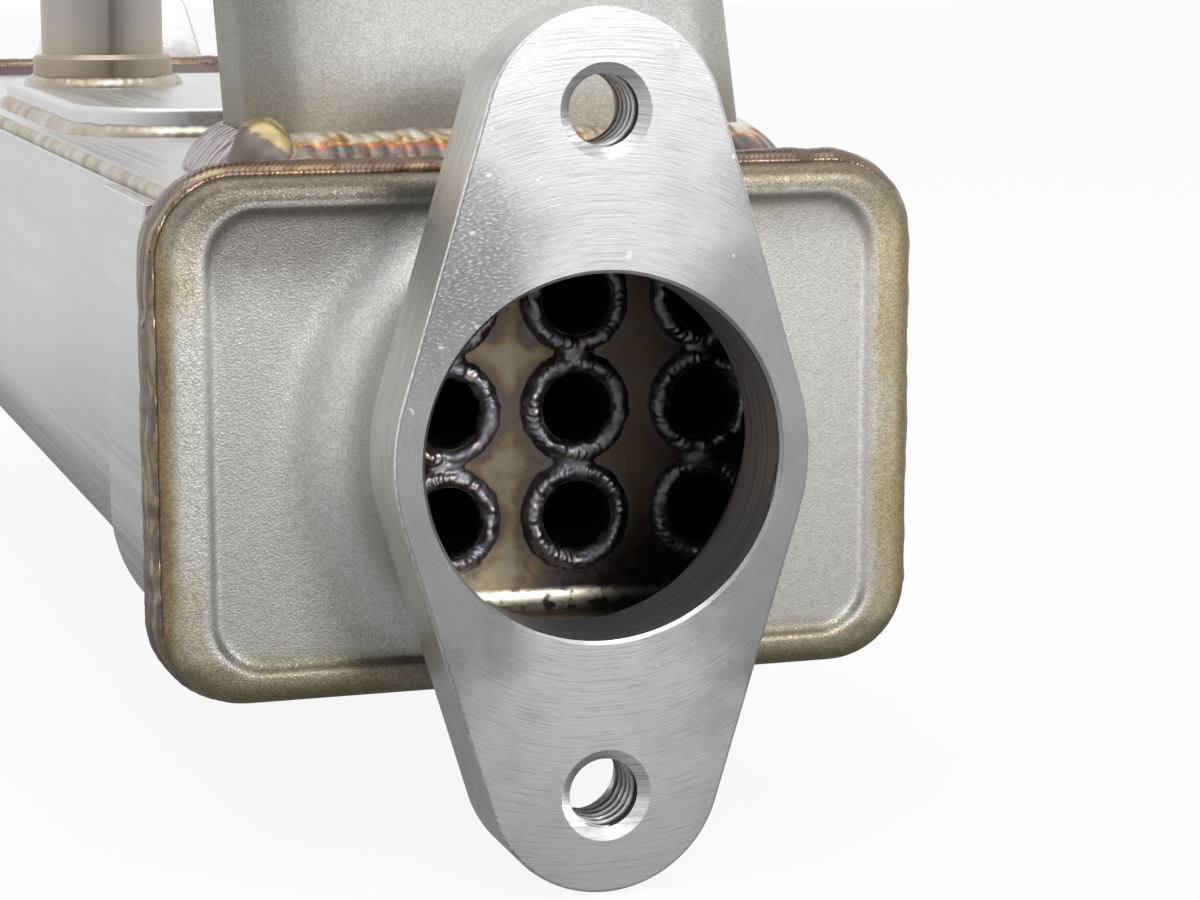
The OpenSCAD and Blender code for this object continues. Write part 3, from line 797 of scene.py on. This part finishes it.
# Blast grain tone, a little darker on the left; its peaks are painted brighter, most on the rim as painted
# glints
rim = spread(from_recess, -0.3 * mm, 0.6 * mm)
pit_tone = spread(rim, 0, 1, spread(x, -25 * mm, 8 * mm, 0.74, 0.86), 0.78)
peak_tone = spread(rim, 0, 1, spread(x, -25 * mm, 8 * mm, 0.98, 1.12), 1.24)
grain_tone = mixed(spread(height, 0.34, 0.66), grey(pit_tone), grey(peak_tone))
paint(shader, mixed(1.0, skin, grain_tone, "MULTIPLY"))
dull_by(shader, spread(glint, 0, 1, 0.44, 0.3))
coarse = spread(x, 0, 30 * mm, 0.42, 0.22)
relief(shader, coarse, 0.1 * mm, height)
fit(cap, blasted_cap, "blasted_steel", "gas_inlet_cap")
copy_to_outlet(cap, "gas_outlet_end_cap", "blasted_steel", "gas_outlet_cap")


# Seam welds: one bead runs round each cap and joins it to the lip of the tube sheet and the shell.
# Along the top it is flat and brown; down the sides it is glossy, in mixed greys and browns.
seam_low, seam_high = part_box("gas_inlet_seam_weld")
seam_mid_y = (seam_low.y + seam_high.y) / 2
seam_half_w = (seam_high.y - seam_low.y) / 2
seam_rise = seam_high.x - cap_x
sunk_below = 1.0 * mm
sunk_right = 0.5 * mm


def rectangle_route(half_x, half_z, r, place):
    """Route round a rectangle with round corners, and its length. place(point, outward) puts it in space."""
    arc = math.pi * r / 2
    flats = [2 * (half_z - r), 2 * (half_x - r)] * 2

    def at(s):
        for quarter, flat in enumerate(flats):
            turn = quarter * math.pi / 2
            n = Vector((math.cos(turn), math.sin(turn)))
            t = Vector((-n.y, n.x))
            if s <= flat:
                return n * (half_x if quarter % 2 == 0 else half_z) + t * (s - flat / 2), n
            s -= flat
            if s <= arc:
                n = Vector((math.cos(turn + s / r), math.sin(turn + s / r)))
                middle = Vector((1 if quarter in (0, 3) else -1, 1 if quarter in (0, 1) else -1))
                return Vector((middle.x * (half_x - r), middle.y * (half_z - r))) + n * r, n
            s -= arc
        return at(0)

    def placed(s):
        point, outward = at(s)
        return place(point, outward)
    return placed, sum(flats) + 4 * arc


def on_seam(point, outward):
    """Place of the seam bead, which sits lower along the bottom and the right of the cap."""
    sunk = max(0.0, -outward.y) * sunk_below + max(0.0, outward.x) * sunk_right
    point = point - outward * sunk
    return Vector((point.x, seam_mid_y, point.y)), Vector((0, 1, 0)), Vector((outward.x, 0, outward.y))


route, seam_len = rectangle_route(cap_x, cap_z, cap_corner_r, on_seam)
seam = lay_bead("inlet_seam_weld", route, seam_len, half_w=seam_half_w, rise=seam_rise * 0.92,
                root=0.8 * mm, ripple=0.1 * mm, pitch=1.1 * mm, seed=3.1, step=0.28 * mm, across=24,
                skew=1.6, patchy=0.8)

seam_metal, shader, place = new_finish("seam_weld_metal", 1.0, 0.26)
x = axes_of(place)["X"]
streaky = add("Mapping", Vector=place, Scale=(170.0, 1300.0, 170.0))
patch = mottle(streaky, 1.0, Detail=4.0, Distortion=0.8)
flank = spread(size_of(x), 33 * mm, 39.5 * mm)
seam_heat = spread(patch, 0.28, 0.72, 0.12, 0.95)
flank_tone = mixed(0.5, tinted(seam_heat), (0.22, 0.205, 0.19))
turned_place = add("Mapping", Vector=place, Rotation=(0, 0, 0.6))
slant = add("TexWave", Vector=turned_place, bands_direction="X", Scale=640.0, Distortion=3.0, Detail=2.0)
top_tone = mixed(0.5, tinted(times(seam_heat, 0.8)), (0.12, 0.075, 0.05))
top_tone = mixed(times(slant, 0.7), top_tone, (0.30, 0.20, 0.13))
grey_side = spread(x, 0, 18 * mm, 0.15, 0.6)
top_tone = mixed(grey_side, top_tone, (0.15, 0.125, 0.115))
bead_tone = mixed(flank, top_tone, flank_tone)
speck = mottle(place, 1500.0, Detail=2.0)
paint(shader, mixed(spread(speck, 0.66, 0.74, 0.0, 0.8), bead_tone, (0.05, 0.04, 0.04)))
dull_by(shader, spread(patch, 0.3, 0.7, 0.22, 0.4))
ripples = plus(patch, times(slant, 0.5))
relief(shader, 0.4, 0.09 * mm, ripples)
fit(seam, seam_metal, "weld_metal", "gas_inlet_seam_weld")
copy_to_outlet(seam, "outlet_seam_weld", "weld_metal", "gas_outlet_seam_weld")


# Gas flanges: two-bolt plates cut from thick stainless, faced, bored and tapped M8.
# Facing left fine arcs round the bore and the side was milled; each flange is welded on a neck.
bolts = mounts["gas_inlet_bolts"]["dims"]
flange_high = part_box("gas_inlet_flange")[1]
waist_r = flange_high.x
ear_r = 12 * mm
ear_z = flange_high.z - ear_r
bolt_z = bolts["spacing_y_mm"] / 2 * mm
tap_r = bolts["hole_r_mm"] * mm
thread_pitch = 1.25 * mm
thread_root_r = tap_r + 0.05 * mm
thread_crest_r = tap_r - 0.62 * mm
countersink_r = tap_r + 0.6 * mm
lip = 0.35 * mm

flange = bar("gas_inlet_flange_plate", waist_r, (0, 0, 0), (0, flange_t, 0), 128)
ears = [bar("ear", ear_r, (0, 0, z), (0, flange_t, z), 96) for z in (-ear_z, ear_z)]
flange = joined("gas_inlet_flange_plate", [flange, *ears])
pick(flange, faces=lambda mid, way: True)
bpy.ops.mesh.convex_hull(join_triangles=True)
bpy.ops.mesh.dissolve_limited(angle_limit=math.radians(0.3))
bpy.ops.object.mode_set(mode="OBJECT")
break_edges(flange, 0.35 * mm, 3)
carve(flange, bar("bore", bore_r, (0, -mm, 0), (0, flange_t + mm, 0), 192))
carve(flange, bar("bore_lip", bore_r + lip + mm, (0, -mm, 0), (0, lip, 0), 192, bore_r))
mouth_r = 2 * countersink_r - thread_crest_r
for z in (-bolt_z, bolt_z):
    carve(flange, bar("tap", tap_r, (0, 0.9 * mm, z), (0, flange_t + mm, z), 96))
    carve(flange, bar("countersink", mouth_r, (0, -mm, z), (0, mm, z), 96, thread_crest_r))
smooth(flange)

faced_steel, shader, place = new_finish("faced_flange_steel", 1.0, 0.32)
x, y, z = axes_of(place)
radius = distance(x, z)
bearing = math_of("ARCTAN2", z, size_of(x))
polar = add("CombineXYZ", times(radius, 5000.0), times(bearing, 5.0), 0.0)
arcs = mottle(polar, 1.0, Detail=4.0, Roughness=0.65)
haze = mottle(place, 120.0, Detail=5.0, Roughness=0.6)
slanting = add("Mapping", Vector=place, Rotation=(0, -0.5, 0), Scale=(2000.0, 2000.0, 5200.0))
streaks_and_glints = mottle(slanting, 1.0, Detail=2.0)
# Painted reflection of the faced plate: light above and below the bore and dark at its sides, brighter
# towards the bottom
steep = math_of("DIVIDE", size_of(z), plus(radius, 0.1 * mm))
bowtie_reflection = spread(plus(steep, swing(haze, 0.35)), 0.76, 1.04)
nick = spread(mottle(place, 640.0, Detail=1.0), 0.73, 0.77)
reflection_gradient = spread(z, -30 * mm, 30 * mm, 1.0, 0.80)
tone = mixed(bowtie_reflection, (0.36, 0.36, 0.365), grey(reflection_gradient))
tone = mixed(spread(haze, 0.3, 0.7, 0.0, 0.25), tone, (0.62, 0.62, 0.62))
tone = mixed(spread(arcs, 0.3, 0.6, 0.6, 0.0), tone, (0.28, 0.28, 0.28))

# A darker streaked patch at the upper left of the bore with painted glints in it, then streaks and nicks
upper_left_x = plus(x, 15 * mm)
upper_left_z = times(minus(z, 19 * mm), 0.7)
to_upper_left = distance(upper_left_x, upper_left_z)
upper_left_patch = spread(plus(to_upper_left, times(haze, 8 * mm)), 15 * mm, 6 * mm)
darkened_patch = times(upper_left_patch, spread(streaks_and_glints, 0.64, 0.4, 0.25, 0.85))
tone = mixed(darkened_patch, tone, (0.24, 0.24, 0.24))
glints = times(spread(streaks_and_glints, 0.56, 0.7), spread(upper_left_patch, 0, 1, 0.12, 0.45))
tone = mixed(glints, tone, (1.0, 1.0, 1.0))
paint(shader, mixed(times(nick, 0.6), tone, (0.9, 0.9, 0.9)))
dull_by(shader, spread(arcs, 0.3, 0.7, 0.4, 0.26))
marks = plus(arcs, times(streaks_and_glints, 0.35))
relief(shader, 0.4, 0.03 * mm, marks)

milled_side, shader, place = new_finish("milled_flange_side", 1.0, 0.34)
feed_place = add("Mapping", Vector=place, Scale=(260.0, 1700.0, 260.0))
feed = mottle(feed_place, 1.0, Detail=3.0)
paint(shader, mixed(spread(feed, 0.3, 0.7), (0.74, 0.735, 0.72), (0.90, 0.895, 0.88)))
relief(shader, 0.2, 0.05 * mm, feed)

bored_wall, shader, place = new_finish("bored_wall", 1.0, 0.36)
x, y, z = axes_of(place)
across_lines = add("CombineXYZ", times(y, 1500.0), times(z, 60.0), times(x, 60.0))
turns = mottle(across_lines, 1.0, Detail=4.0, Roughness=0.6)
paint(shader, mixed(spread(turns, 0.3, 0.7), (0.60, 0.60, 0.59), (0.95, 0.95, 0.94)))
relief(shader, 0.3, 0.05 * mm, turns)

burred_edge, shader, place = new_finish("burred_flange_edge", 1.0, 0.3)
burr = mottle(place, 1300.0, Detail=3.0)
paint(shader, mixed(spread(burr, 0.35, 0.65), (0.50, 0.50, 0.50), (0.8, 0.8, 0.79)))
relief(shader, 0.4, 0.1 * mm, burr)

fit(flange, faced_steel, "machined_steel", "gas_inlet_flange")
finishes = [faced_steel, milled_side, bored_wall, burred_edge]
for finish in finishes[1:]:
    flange.data.materials.append(finish)
for face in flange.data.polygons:
    inward = face.normal.x * face.center.x + face.normal.z * face.center.z < 0
    to_hole = min(math.hypot(face.center.x, face.center.z - z) for z in (-bolt_z, bolt_z))
    hole = to_hole < tap_r + 0.7 * mm
    if abs(face.normal.y) < 0.3:
        face.material_index = finishes.index(bored_wall if inward or hole else milled_side)
    elif abs(face.normal.y) < 0.95 and not inward and not hole:
        face.material_index = finishes.index(burred_edge)
copy_to_outlet(flange, "gas_outlet_flange_plate", "machined_steel", "gas_outlet_flange")


# Threads of the flanges: each hole is tapped right through; the ridge crests are painted light and the roots
# painted dark as shade.
# One ridge is wound as a helix that runs out at both ends, and copied into the other holes.
thread_y = 0.7 * mm
thread_steps = 40
run_out_turns = 0.3
thread_turns = int((flange_t - 0.4 * mm) / thread_pitch) - 1

deselect()
bpy.ops.mesh.primitive_plane_add(size=1)
thread = bpy.context.object
thread.name = "inlet_upper_thread"
ridge = [(thread_root_r, 0.02), (thread_root_r, 0.98), (thread_crest_r, 0.56), (thread_crest_r, 0.44)]
for index, (radius, part) in zip((0, 1, 3, 2), ridge):
    thread.data.vertices[index].co = (radius, part * thread_pitch, 0)
pick(thread, faces=lambda mid, way: True)
bpy.ops.mesh.delete(type="ONLY_FACE")
bpy.ops.object.mode_set(mode="OBJECT")
apply(thread, "SCREW", axis="Y", screw_offset=thread_pitch, iterations=thread_turns,
      steps=thread_steps, render_steps=thread_steps, use_normal_calculate=True)
crown = thread.data.attributes.new("crown", "FLOAT", "POINT")
for vertex in thread.data.vertices:
    reach = math.hypot(vertex.co.x, vertex.co.z)
    crown.data[vertex.index].value = 1.0 if reach < tap_r - 0.3 * mm else 0.0
    turn = (vertex.index // len(ridge)) / thread_steps
    to_end = min(turn, thread_turns - turn)
    run_out = 1 - max(0.0, min(1.0, to_end / run_out_turns))
    eased = 1 + (thread_root_r - reach) * run_out / reach
    vertex.co.x *= eased
    vertex.co.z *= eased
thread.data.transform(Matrix.Translation((0, thread_y, bolt_z)))
take(thread)
bpy.ops.object.mode_set(mode="EDIT")
bpy.ops.mesh.select_mode(type="VERT")
bpy.ops.mesh.select_all(action="SELECT")
bpy.ops.mesh.fill_holes(sides=4)
bpy.ops.object.mode_set(mode="OBJECT")
clean_skin(thread)
smooth(thread, 40)

cut_thread, shader, place = new_finish("cut_thread", 1.0, 0.3)
torn = mottle(place, 900.0, Detail=4.0)
on_crown = tree_of(torn).nodes.new("ShaderNodeAttribute")
on_crown.attribute_name = "crown"
# Painted light on the crests and painted shade in the roots of the thread
crest = spread(plus(on_crown.outputs["Fac"], swing(torn, 0.3)), 0.5, 0.98)
paint(shader, mixed(crest, (0.035, 0.035, 0.034), (0.66, 0.65, 0.64)))
dull_by(shader, spread(torn, 0.3, 0.7, 0.2, 0.36))
thread.data.materials.append(cut_thread)
lower = copied(thread, "inlet_lower_thread", Matrix.Translation((0, 0, -2 * bolt_z)))
for piece in (thread, lower):
    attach(piece, "root")
    copy_to_outlet(piece, piece.name.replace("inlet", "outlet"), "machined_steel")


# Coolant outlet duct: an upright stainless casting, wide and shallow, with a two-bolt flange.
# It was blasted to an even pebble grain and stands on the lid over a slot.
duct_low, duct_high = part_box("coolant_outlet_duct")
weld_low, weld_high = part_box("coolant_duct_weld")
duct_leg = 5.2 * mm
foot_x = weld_high.x - duct_leg
foot_front, foot_back = weld_low.y + duct_leg, weld_high.y - duct_leg
duct_mid_y = (foot_front + foot_back) / 2
foot_half_y = (foot_back - foot_front) / 2
duct_corner_r = 6 * mm
duct_wall = 2.5 * mm
duct_flange_t = 7 * mm
duct_bolts = mounts["coolant_outlet_bolts"]["dims"]
duct_bolt_x = duct_bolts["spacing_x_mm"] / 2 * mm
duct_bolt_r = duct_bolts["hole_r_mm"] * mm
duct_ear_r = duct_high.x - duct_bolt_x
duct_flange_y = foot_half_y + duct_wall
duct_flange_mid_y = duct_high.y - duct_flange_y
lean = (duct_flange_mid_y - duct_mid_y) / (duct_high.z - duct_low.z - duct_flange_t / 2)
lean_back = Matrix(((1, 0, 0, 0), (0, 1, lean, -lean * duct_low.z), (0, 0, 1, 0), (0, 0, 0, 1)))


def upright(mid, way):
    """Picks the edges that stand upright."""
    return abs(way.z) > 0.9


duct = block("coolant_outlet_casting", (-foot_x, foot_front, duct_low.z), (foot_x, foot_back, duct_high.z))
round_off(duct, upright, duct_corner_r, 10)
flange_z = duct_high.z - duct_flange_t
duct.data.transform(lean_back)
plate = block("duct_flange", (duct_low.x, duct_flange_mid_y - duct_flange_y, flange_z),
              (duct_high.x, duct_high.y, duct_high.z))
round_off(plate, upright, duct_ear_r, 12)
carve(duct, plate, "UNION")
slot = block("slot", (-foot_x + duct_wall, foot_front + duct_wall, duct_low.z - mm),
             (foot_x - duct_wall, foot_back - duct_wall, duct_high.z + mm))
round_off(slot, upright, duct_corner_r - duct_wall, 6)
slot.data.transform(lean_back)
carve(duct, slot)
for x in (-duct_bolt_x, duct_bolt_x):
    carve(duct, bar("bolt_hole", duct_bolt_r, (x, duct_flange_mid_y, flange_z - mm),
                    (x, duct_flange_mid_y, duct_high.z + mm), 48))
cast_skin(duct, 0.58 * mm, 4)

cast_duct, shader, place = new_finish("blasted_duct_casting", 1.0, 0.4)
x, y, z = axes_of(place)
cloud = mottle(place, 220.0, Detail=3.0)
above_weld = plus(minus(z, weld_high.z), swing(cloud, 2.5 * mm))
height, glint = grained(place, 4200.0)
scorch = spread(above_weld, -1.5 * mm, 9 * mm, 0.75, 0.0)
left_end = spread(x, -foot_x + 16 * mm, -foot_x, 0.0, 0.8)
skin = mixed(left_end, (0.45, 0.445, 0.43), (0.225, 0.215, 0.195))
skin = mixed(scorch, skin, (0.21, 0.18, 0.12))
grain_tone = mixed(spread(height, 0.34, 0.66), (0.84, 0.84, 0.84), (1.1, 1.1, 1.1))
paint(shader, mixed(1.0, skin, grain_tone, "MULTIPLY"))
dull_by(shader, spread(glint, 0, 1, 0.48, 0.32))
relief(shader, 0.42, 0.07 * mm, height)
fit(duct, cast_duct, "blasted_steel", "coolant_outlet_duct")


# Duct weld: a hand-laid fillet round the foot of the duct, with broad overlapping scales.
# It ends in a heavy blob at the front left corner, and its skin shines in oxide colours.
def in_corner(corner, direction, lift):
    """Place of a bead in the corner at a wall's foot, and its directions across and outwards."""
    up = Vector((0, 0, 1))
    return corner + (direction + up) * lift, (up - direction).normalized(), (direction + up).normalized()


def on_foot(point, outward):
    """Place of the bead at the foot of the duct."""
    corner = Vector((point.x, duct_mid_y + point.y, duct_low.z))
    return in_corner(corner, Vector((outward.x, outward.y, 0)), 2.2 * mm)


route, duct_weld_len = rectangle_route(foot_x, foot_half_y, duct_corner_r, on_foot)
duct_bead = lay_bead("coolant_duct_bead", route, duct_weld_len, half_w=3.5 * mm, rise=1.0 * mm,
                     root=1.6 * mm, ripple=0.26 * mm, pitch=1.8 * mm, seed=11.7, step=0.2 * mm, across=36,
                     wander=0.1, patchy=0.5)
duct_bead.data.transform(lean_back)
deselect()
bpy.ops.mesh.primitive_uv_sphere_add(segments=48, ring_count=32, radius=1)
blob = bpy.context.object
blob_place = Vector((-foot_x - 0.1 * mm, foot_front + 0.1 * mm, duct_low.z + 3.1 * mm))
outward = Vector((-0.35, -0.8, 0.45)).normalized()
sideways = outward.cross(Vector((0, 0, 1))).normalized()
slope = sideways.cross(outward)
blob_r = 3.2 * mm
blob_depth, blob_height = 0.48, 1.1
for vertex in blob.data.vertices:
    lump = 1 + 0.22 * noise.noise(vertex.co * 1.3)
    x, y, z = vertex.co * lump * blob_r
    sag = 1 + 0.25 * max(0.0, -z / blob_r)
    vertex.co = blob_place + sideways * x * sag + outward * y * blob_depth + slope * z * blob_height
duct_bead = joined("coolant_duct_bead", [duct_bead, blob])
cast_skin(duct_bead, 0.24 * mm, 3)

duct_weld_metal, shader, place = new_finish("duct_weld_metal", 1.0, 0.22)
x, y, z = axes_of(place)
patch = mottle(place, 620.0, Detail=3.0, Distortion=1.0)

# Oxide colours in bands up the bead, then drawn-out strands at the left corner and the dull blob, whose
# upper right is a painted gold highlight
up_bead = spread(z, duct_low.z + 1.8 * mm, duct_low.z + 4.9 * mm)
band = add("ValToRGB", plus(up_bead, swing(patch, 1.1)))
bead_stops = band.node.color_ramp.elements
for position, colour in ((0.16, (0.20, 0.13, 0.11)), (0.30, (0.13, 0.19, 0.15)), (0.44, (0.34, 0.13, 0.18)),
                         (0.57, (0.46, 0.20, 0.07)), (0.72, (0.60, 0.44, 0.22))):
    bead_stops.new(position).color = (*colour, 1)
bead_stops[0].color = (0.12, 0.09, 0.085, 1)
bead_stops[-1].color = (0.78, 0.74, 0.68, 1)
drawn_out = add("Mapping", vector_type="TEXTURE", Vector=place, Rotation=(0, 0.75, 0),
                Scale=(0.6 * mm, 0.6 * mm, 14 * mm))
streaks = mottle(drawn_out, 1.0, Detail=3.0)
drawn = mixed(spread(streaks, 0.36, 0.64), (0.15, 0.12, 0.13), (0.50, 0.45, 0.44))
at_corner = spread(x, -foot_x + 3 * mm, -foot_x - 0.5 * mm)
blob_axes = [math_of("DIVIDE", minus(axis, centre), blob_r)
             for axis, centre in zip((x, y, z), blob_place)]
waver = swing(patch, 0.5)
from_blob = distance(*blob_axes)
on_blob = spread(plus(from_blob, waver), 1.2, 1.05)
upper_right = plus(times(blob_axes[0], 0.55), times(blob_axes[2], 0.85))
blob_highlight = spread(plus(upper_right, waver), 0.3, 0.5)
blob_tone = mixed(blob_highlight, (0.19, 0.16, 0.145), (0.46, 0.37, 0.20))
paint(shader, mixed(on_blob, mixed(at_corner, band, drawn), blob_tone))
dull_by(shader, spread(on_blob, 0, 1, 0.24, 0.48))
strands = times(at_corner, spread(on_blob, 0, 1, 1.0, 0.25))
strands = times(streaks, strands)
relief(shader, 0.4, 0.14 * mm, strands)
fit(duct_bead, duct_weld_metal, "weld_metal", "coolant_duct_weld")


# Coolant inlet pad and pipe: a thick plate with round corners and a drawn pipe with a collar.
# The pad is welded down all round, and the pipe stands in it inside a neat ring of weld.
pad_low, pad_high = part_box("coolant_inlet_pad")
pipe_low, pipe_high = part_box("coolant_inlet_pipe")
pipe_centre = (pipe_low + pipe_high) / 2
pipe_r = mounts["coolant_inlet_spigot"]["dims"]["r_mm"] * mm
collar_r = (pipe_high.x - pipe_low.x) / 2
pipe_wall = 1.5 * mm
collar_top = pad_high.z + 4 * mm
pad_corner_r = 14 * mm

pad = block("coolant_inlet_plate", pad_low, pad_high)
round_off(pad, upright, pad_corner_r, 16)
round_off(pad, lambda mid, way: mid.z > pad_high.z - hair, 0.8 * mm, 4)
carve(pad, bar("collar_hole", collar_r, (pipe_centre.x, pipe_centre.y, pad_low.z - mm),
               (pipe_centre.x, pipe_centre.y, pad_high.z + mm), 96))
smooth(pad)
fit(pad, satin_sheet, "sheet_steel", "coolant_inlet_pad")

edge = 0.3 * mm
pipe_bore = pipe_r - pipe_wall
pipe = turned("coolant_inlet_pipe_turned", pipe_centre, [
    (collar_r, pipe_low.z), (collar_r, collar_top - edge), (collar_r - edge, collar_top),
    (pipe_r + edge, collar_top), (pipe_r, collar_top + edge),
    (pipe_r, pipe_high.z - edge), (pipe_r - edge, pipe_high.z),
    (pipe_bore + edge, pipe_high.z), (pipe_bore, pipe_high.z - edge), (pipe_bore, pipe_low.z)])
smooth(pipe)

drawn_pipe, shader, place = new_finish("drawn_pipe_steel", 1.0, 0.36)
drawn_place = add("Mapping", Vector=place, Scale=(900.0, 900.0, 25.0))
streak = mottle(drawn_place, 1.0, Detail=3.0)
pipe_tone = mixed(streak, (0.38, 0.35, 0.32), (0.50, 0.47, 0.44))
foot_heat = spread(axes_of(place)["Z"], pad_high.z, pad_high.z + 12 * mm, 0.5, 0.0)
paint(shader, mixed(foot_heat, pipe_tone, tinted(foot_heat)))
dull_by(shader, spread(streak, 0.3, 0.7, 0.3, 0.45))
fit(pipe, drawn_pipe, "sheet_steel", "coolant_inlet_pipe")

pad_mid_y = (pad_low.y + pad_high.y) / 2


def on_pad_foot(point, outward):
    """Place of the bead at the foot of the pad."""
    corner = Vector((point.x, pad_mid_y + point.y, pad_low.z))
    return in_corner(corner, Vector((outward.x, outward.y, 0)), 0.3 * mm)


route, pad_weld_len = rectangle_route(pad_high.x, (pad_high.y - pad_low.y) / 2, pad_corner_r, on_pad_foot)
pad_bead = lay_bead("coolant_pad_bead", route, pad_weld_len, half_w=1.3 * mm, rise=0.85 * mm,
                    root=0.5 * mm, ripple=0.12 * mm, pitch=1.5 * mm, seed=21.0, step=0.3 * mm, across=14)
fit(pad_bead, lid_weld_metal, "weld_metal", "coolant_pad_weld")


def pipe_route(s):
    """Route round the collar, in the corner on the pad."""
    turn = s / collar_r
    outward = Vector((math.cos(turn), math.sin(turn), 0))
    corner = Vector((pipe_centre.x, pipe_centre.y, pad_high.z)) + outward * collar_r
    return in_corner(corner, outward, 0.3 * mm)


pipe_bead = lay_bead("coolant_pipe_bead", pipe_route, 2 * math.pi * collar_r, half_w=1.3 * mm,
                     rise=0.85 * mm, root=0.5 * mm, ripple=0.14 * mm, pitch=1.4 * mm, seed=31.0, across=14)
fit(pipe_bead, lid_weld_metal, "weld_metal", "coolant_pipe_weld")


# Studio: a pale floor in a white room, a broad soft light overhead and a small key light in front.
# The camera stands close to the inlet end, a little above it and to its left.
deselect()
bpy.ops.mesh.primitive_plane_add(size=6, location=(0, 0, cad_box[0][2] - 0.2 * mm))
floor = bpy.context.object
floor.name = "studio_floor"

# The floor shows white to the camera; in reflections it glows less near the part, a painted shade
pale = bpy.data.materials.new("pale_floor")
pale.use_nodes = True
tree = pale.node_tree
tree.nodes.remove(tree.nodes["Principled BSDF"])
paper = tree.nodes.new("ShaderNodeBsdfDiffuse")
paper.inputs["Color"].default_value = (0.9, 0.9, 0.9, 1)
path = tree.nodes.new("ShaderNodeLightPath")
spot = axes_of(tree.nodes.new("ShaderNodeTexCoord").outputs["Object"])
beyond = times(minus(spot["Y"], body_len / 2), 0.6)
away = distance(spot["X"], beyond)
floor_shade_in_reflections = times(spread(away, 0.05, 0.28, 0.22, 0.85), spread(spot["Y"], -0.3, 0.1, 0.85, 1.0))
level = tree.nodes.new("ShaderNodeMix")
for index, value in ((0, path.outputs["Is Glossy Ray"]), (2, 1.0), (3, floor_shade_in_reflections)):
    plug(level.inputs[index], value)
glow = add("Emission", Color=(1, 1, 1, 1), Strength=level.outputs[0])
seen = math_of("MAXIMUM", path.outputs["Is Camera Ray"], path.outputs["Is Glossy Ray"])
mix = add("MixShader", times(seen, 0.9), paper.outputs[0], glow)
tree.links.new(mix, tree.nodes["Material Output"].inputs["Surface"])
floor.data.materials.append(pale)

world = bpy.data.worlds.new("white_studio")
bpy.context.scene.world = world
world.use_nodes = True
tree = world.node_tree
path = tree.nodes.new("ShaderNodeLightPath")
seen = math_of("MAXIMUM", path.outputs["Is Camera Ray"],
               math_of("MAXIMUM", path.outputs["Is Glossy Ray"], path.outputs["Is Transmission Ray"]))
heading = axes_of(tree.nodes.new("ShaderNodeTexCoord").outputs["Generated"])
frontward = minus(times(heading["Y"], -1.0), times(heading["Z"], 0.5))
room = spread(frontward, 0.1, 0.95, 1.0, 0.42)
background = tree.nodes["Background"]
lit = mixed(path.outputs["Is Camera Ray"], grey(room), (1, 1, 1))
plug(background.inputs["Color"], lit)
plug(background.inputs["Strength"], spread(seen, 0, 1, 0.7, 1.0))


def soft_light(name, place, target, size, power):
    """A square soft box that faces a point."""
    lamp = bpy.data.lights.new(name, "AREA")
    lamp.shape = "SQUARE"
    lamp.size = size
    lamp.energy = power
    holder = bpy.data.objects.new(name, lamp)
    bpy.context.scene.collection.objects.link(holder)
    holder.location = place
    holder.rotation_euler = (Vector(target) - Vector(place)).to_track_quat("-Z", "Y").to_euler()


soft_light("overhead_box", (-0.1, -0.1, 0.9), (0, 0.1, 0), 0.8, 3)
soft_light("key_box", (0.3, -1.1, 0.36), (0, 0, 0), 0.3, 5)

camera = bpy.data.objects.new("camera", bpy.data.cameras.new("camera"))
camera.data.sensor_fit = "HORIZONTAL"
camera.data.sensor_width = 36.0
camera.data.lens = 96.3
camera.data.shift_x = -0.0017
camera.data.shift_y = 0.0026
camera.data.clip_start = 0.01
camera.data.clip_end = 20.0
camera.location = (-0.0950, -0.2901, 0.05195)
camera.rotation_euler = (math.radians(90 - 9.55), 0, math.radians(-18.05))
bpy.context.scene.collection.objects.link(camera)
bpy.context.scene.camera = camera
bpy.context.scene.view_settings.view_transform = "Standard"
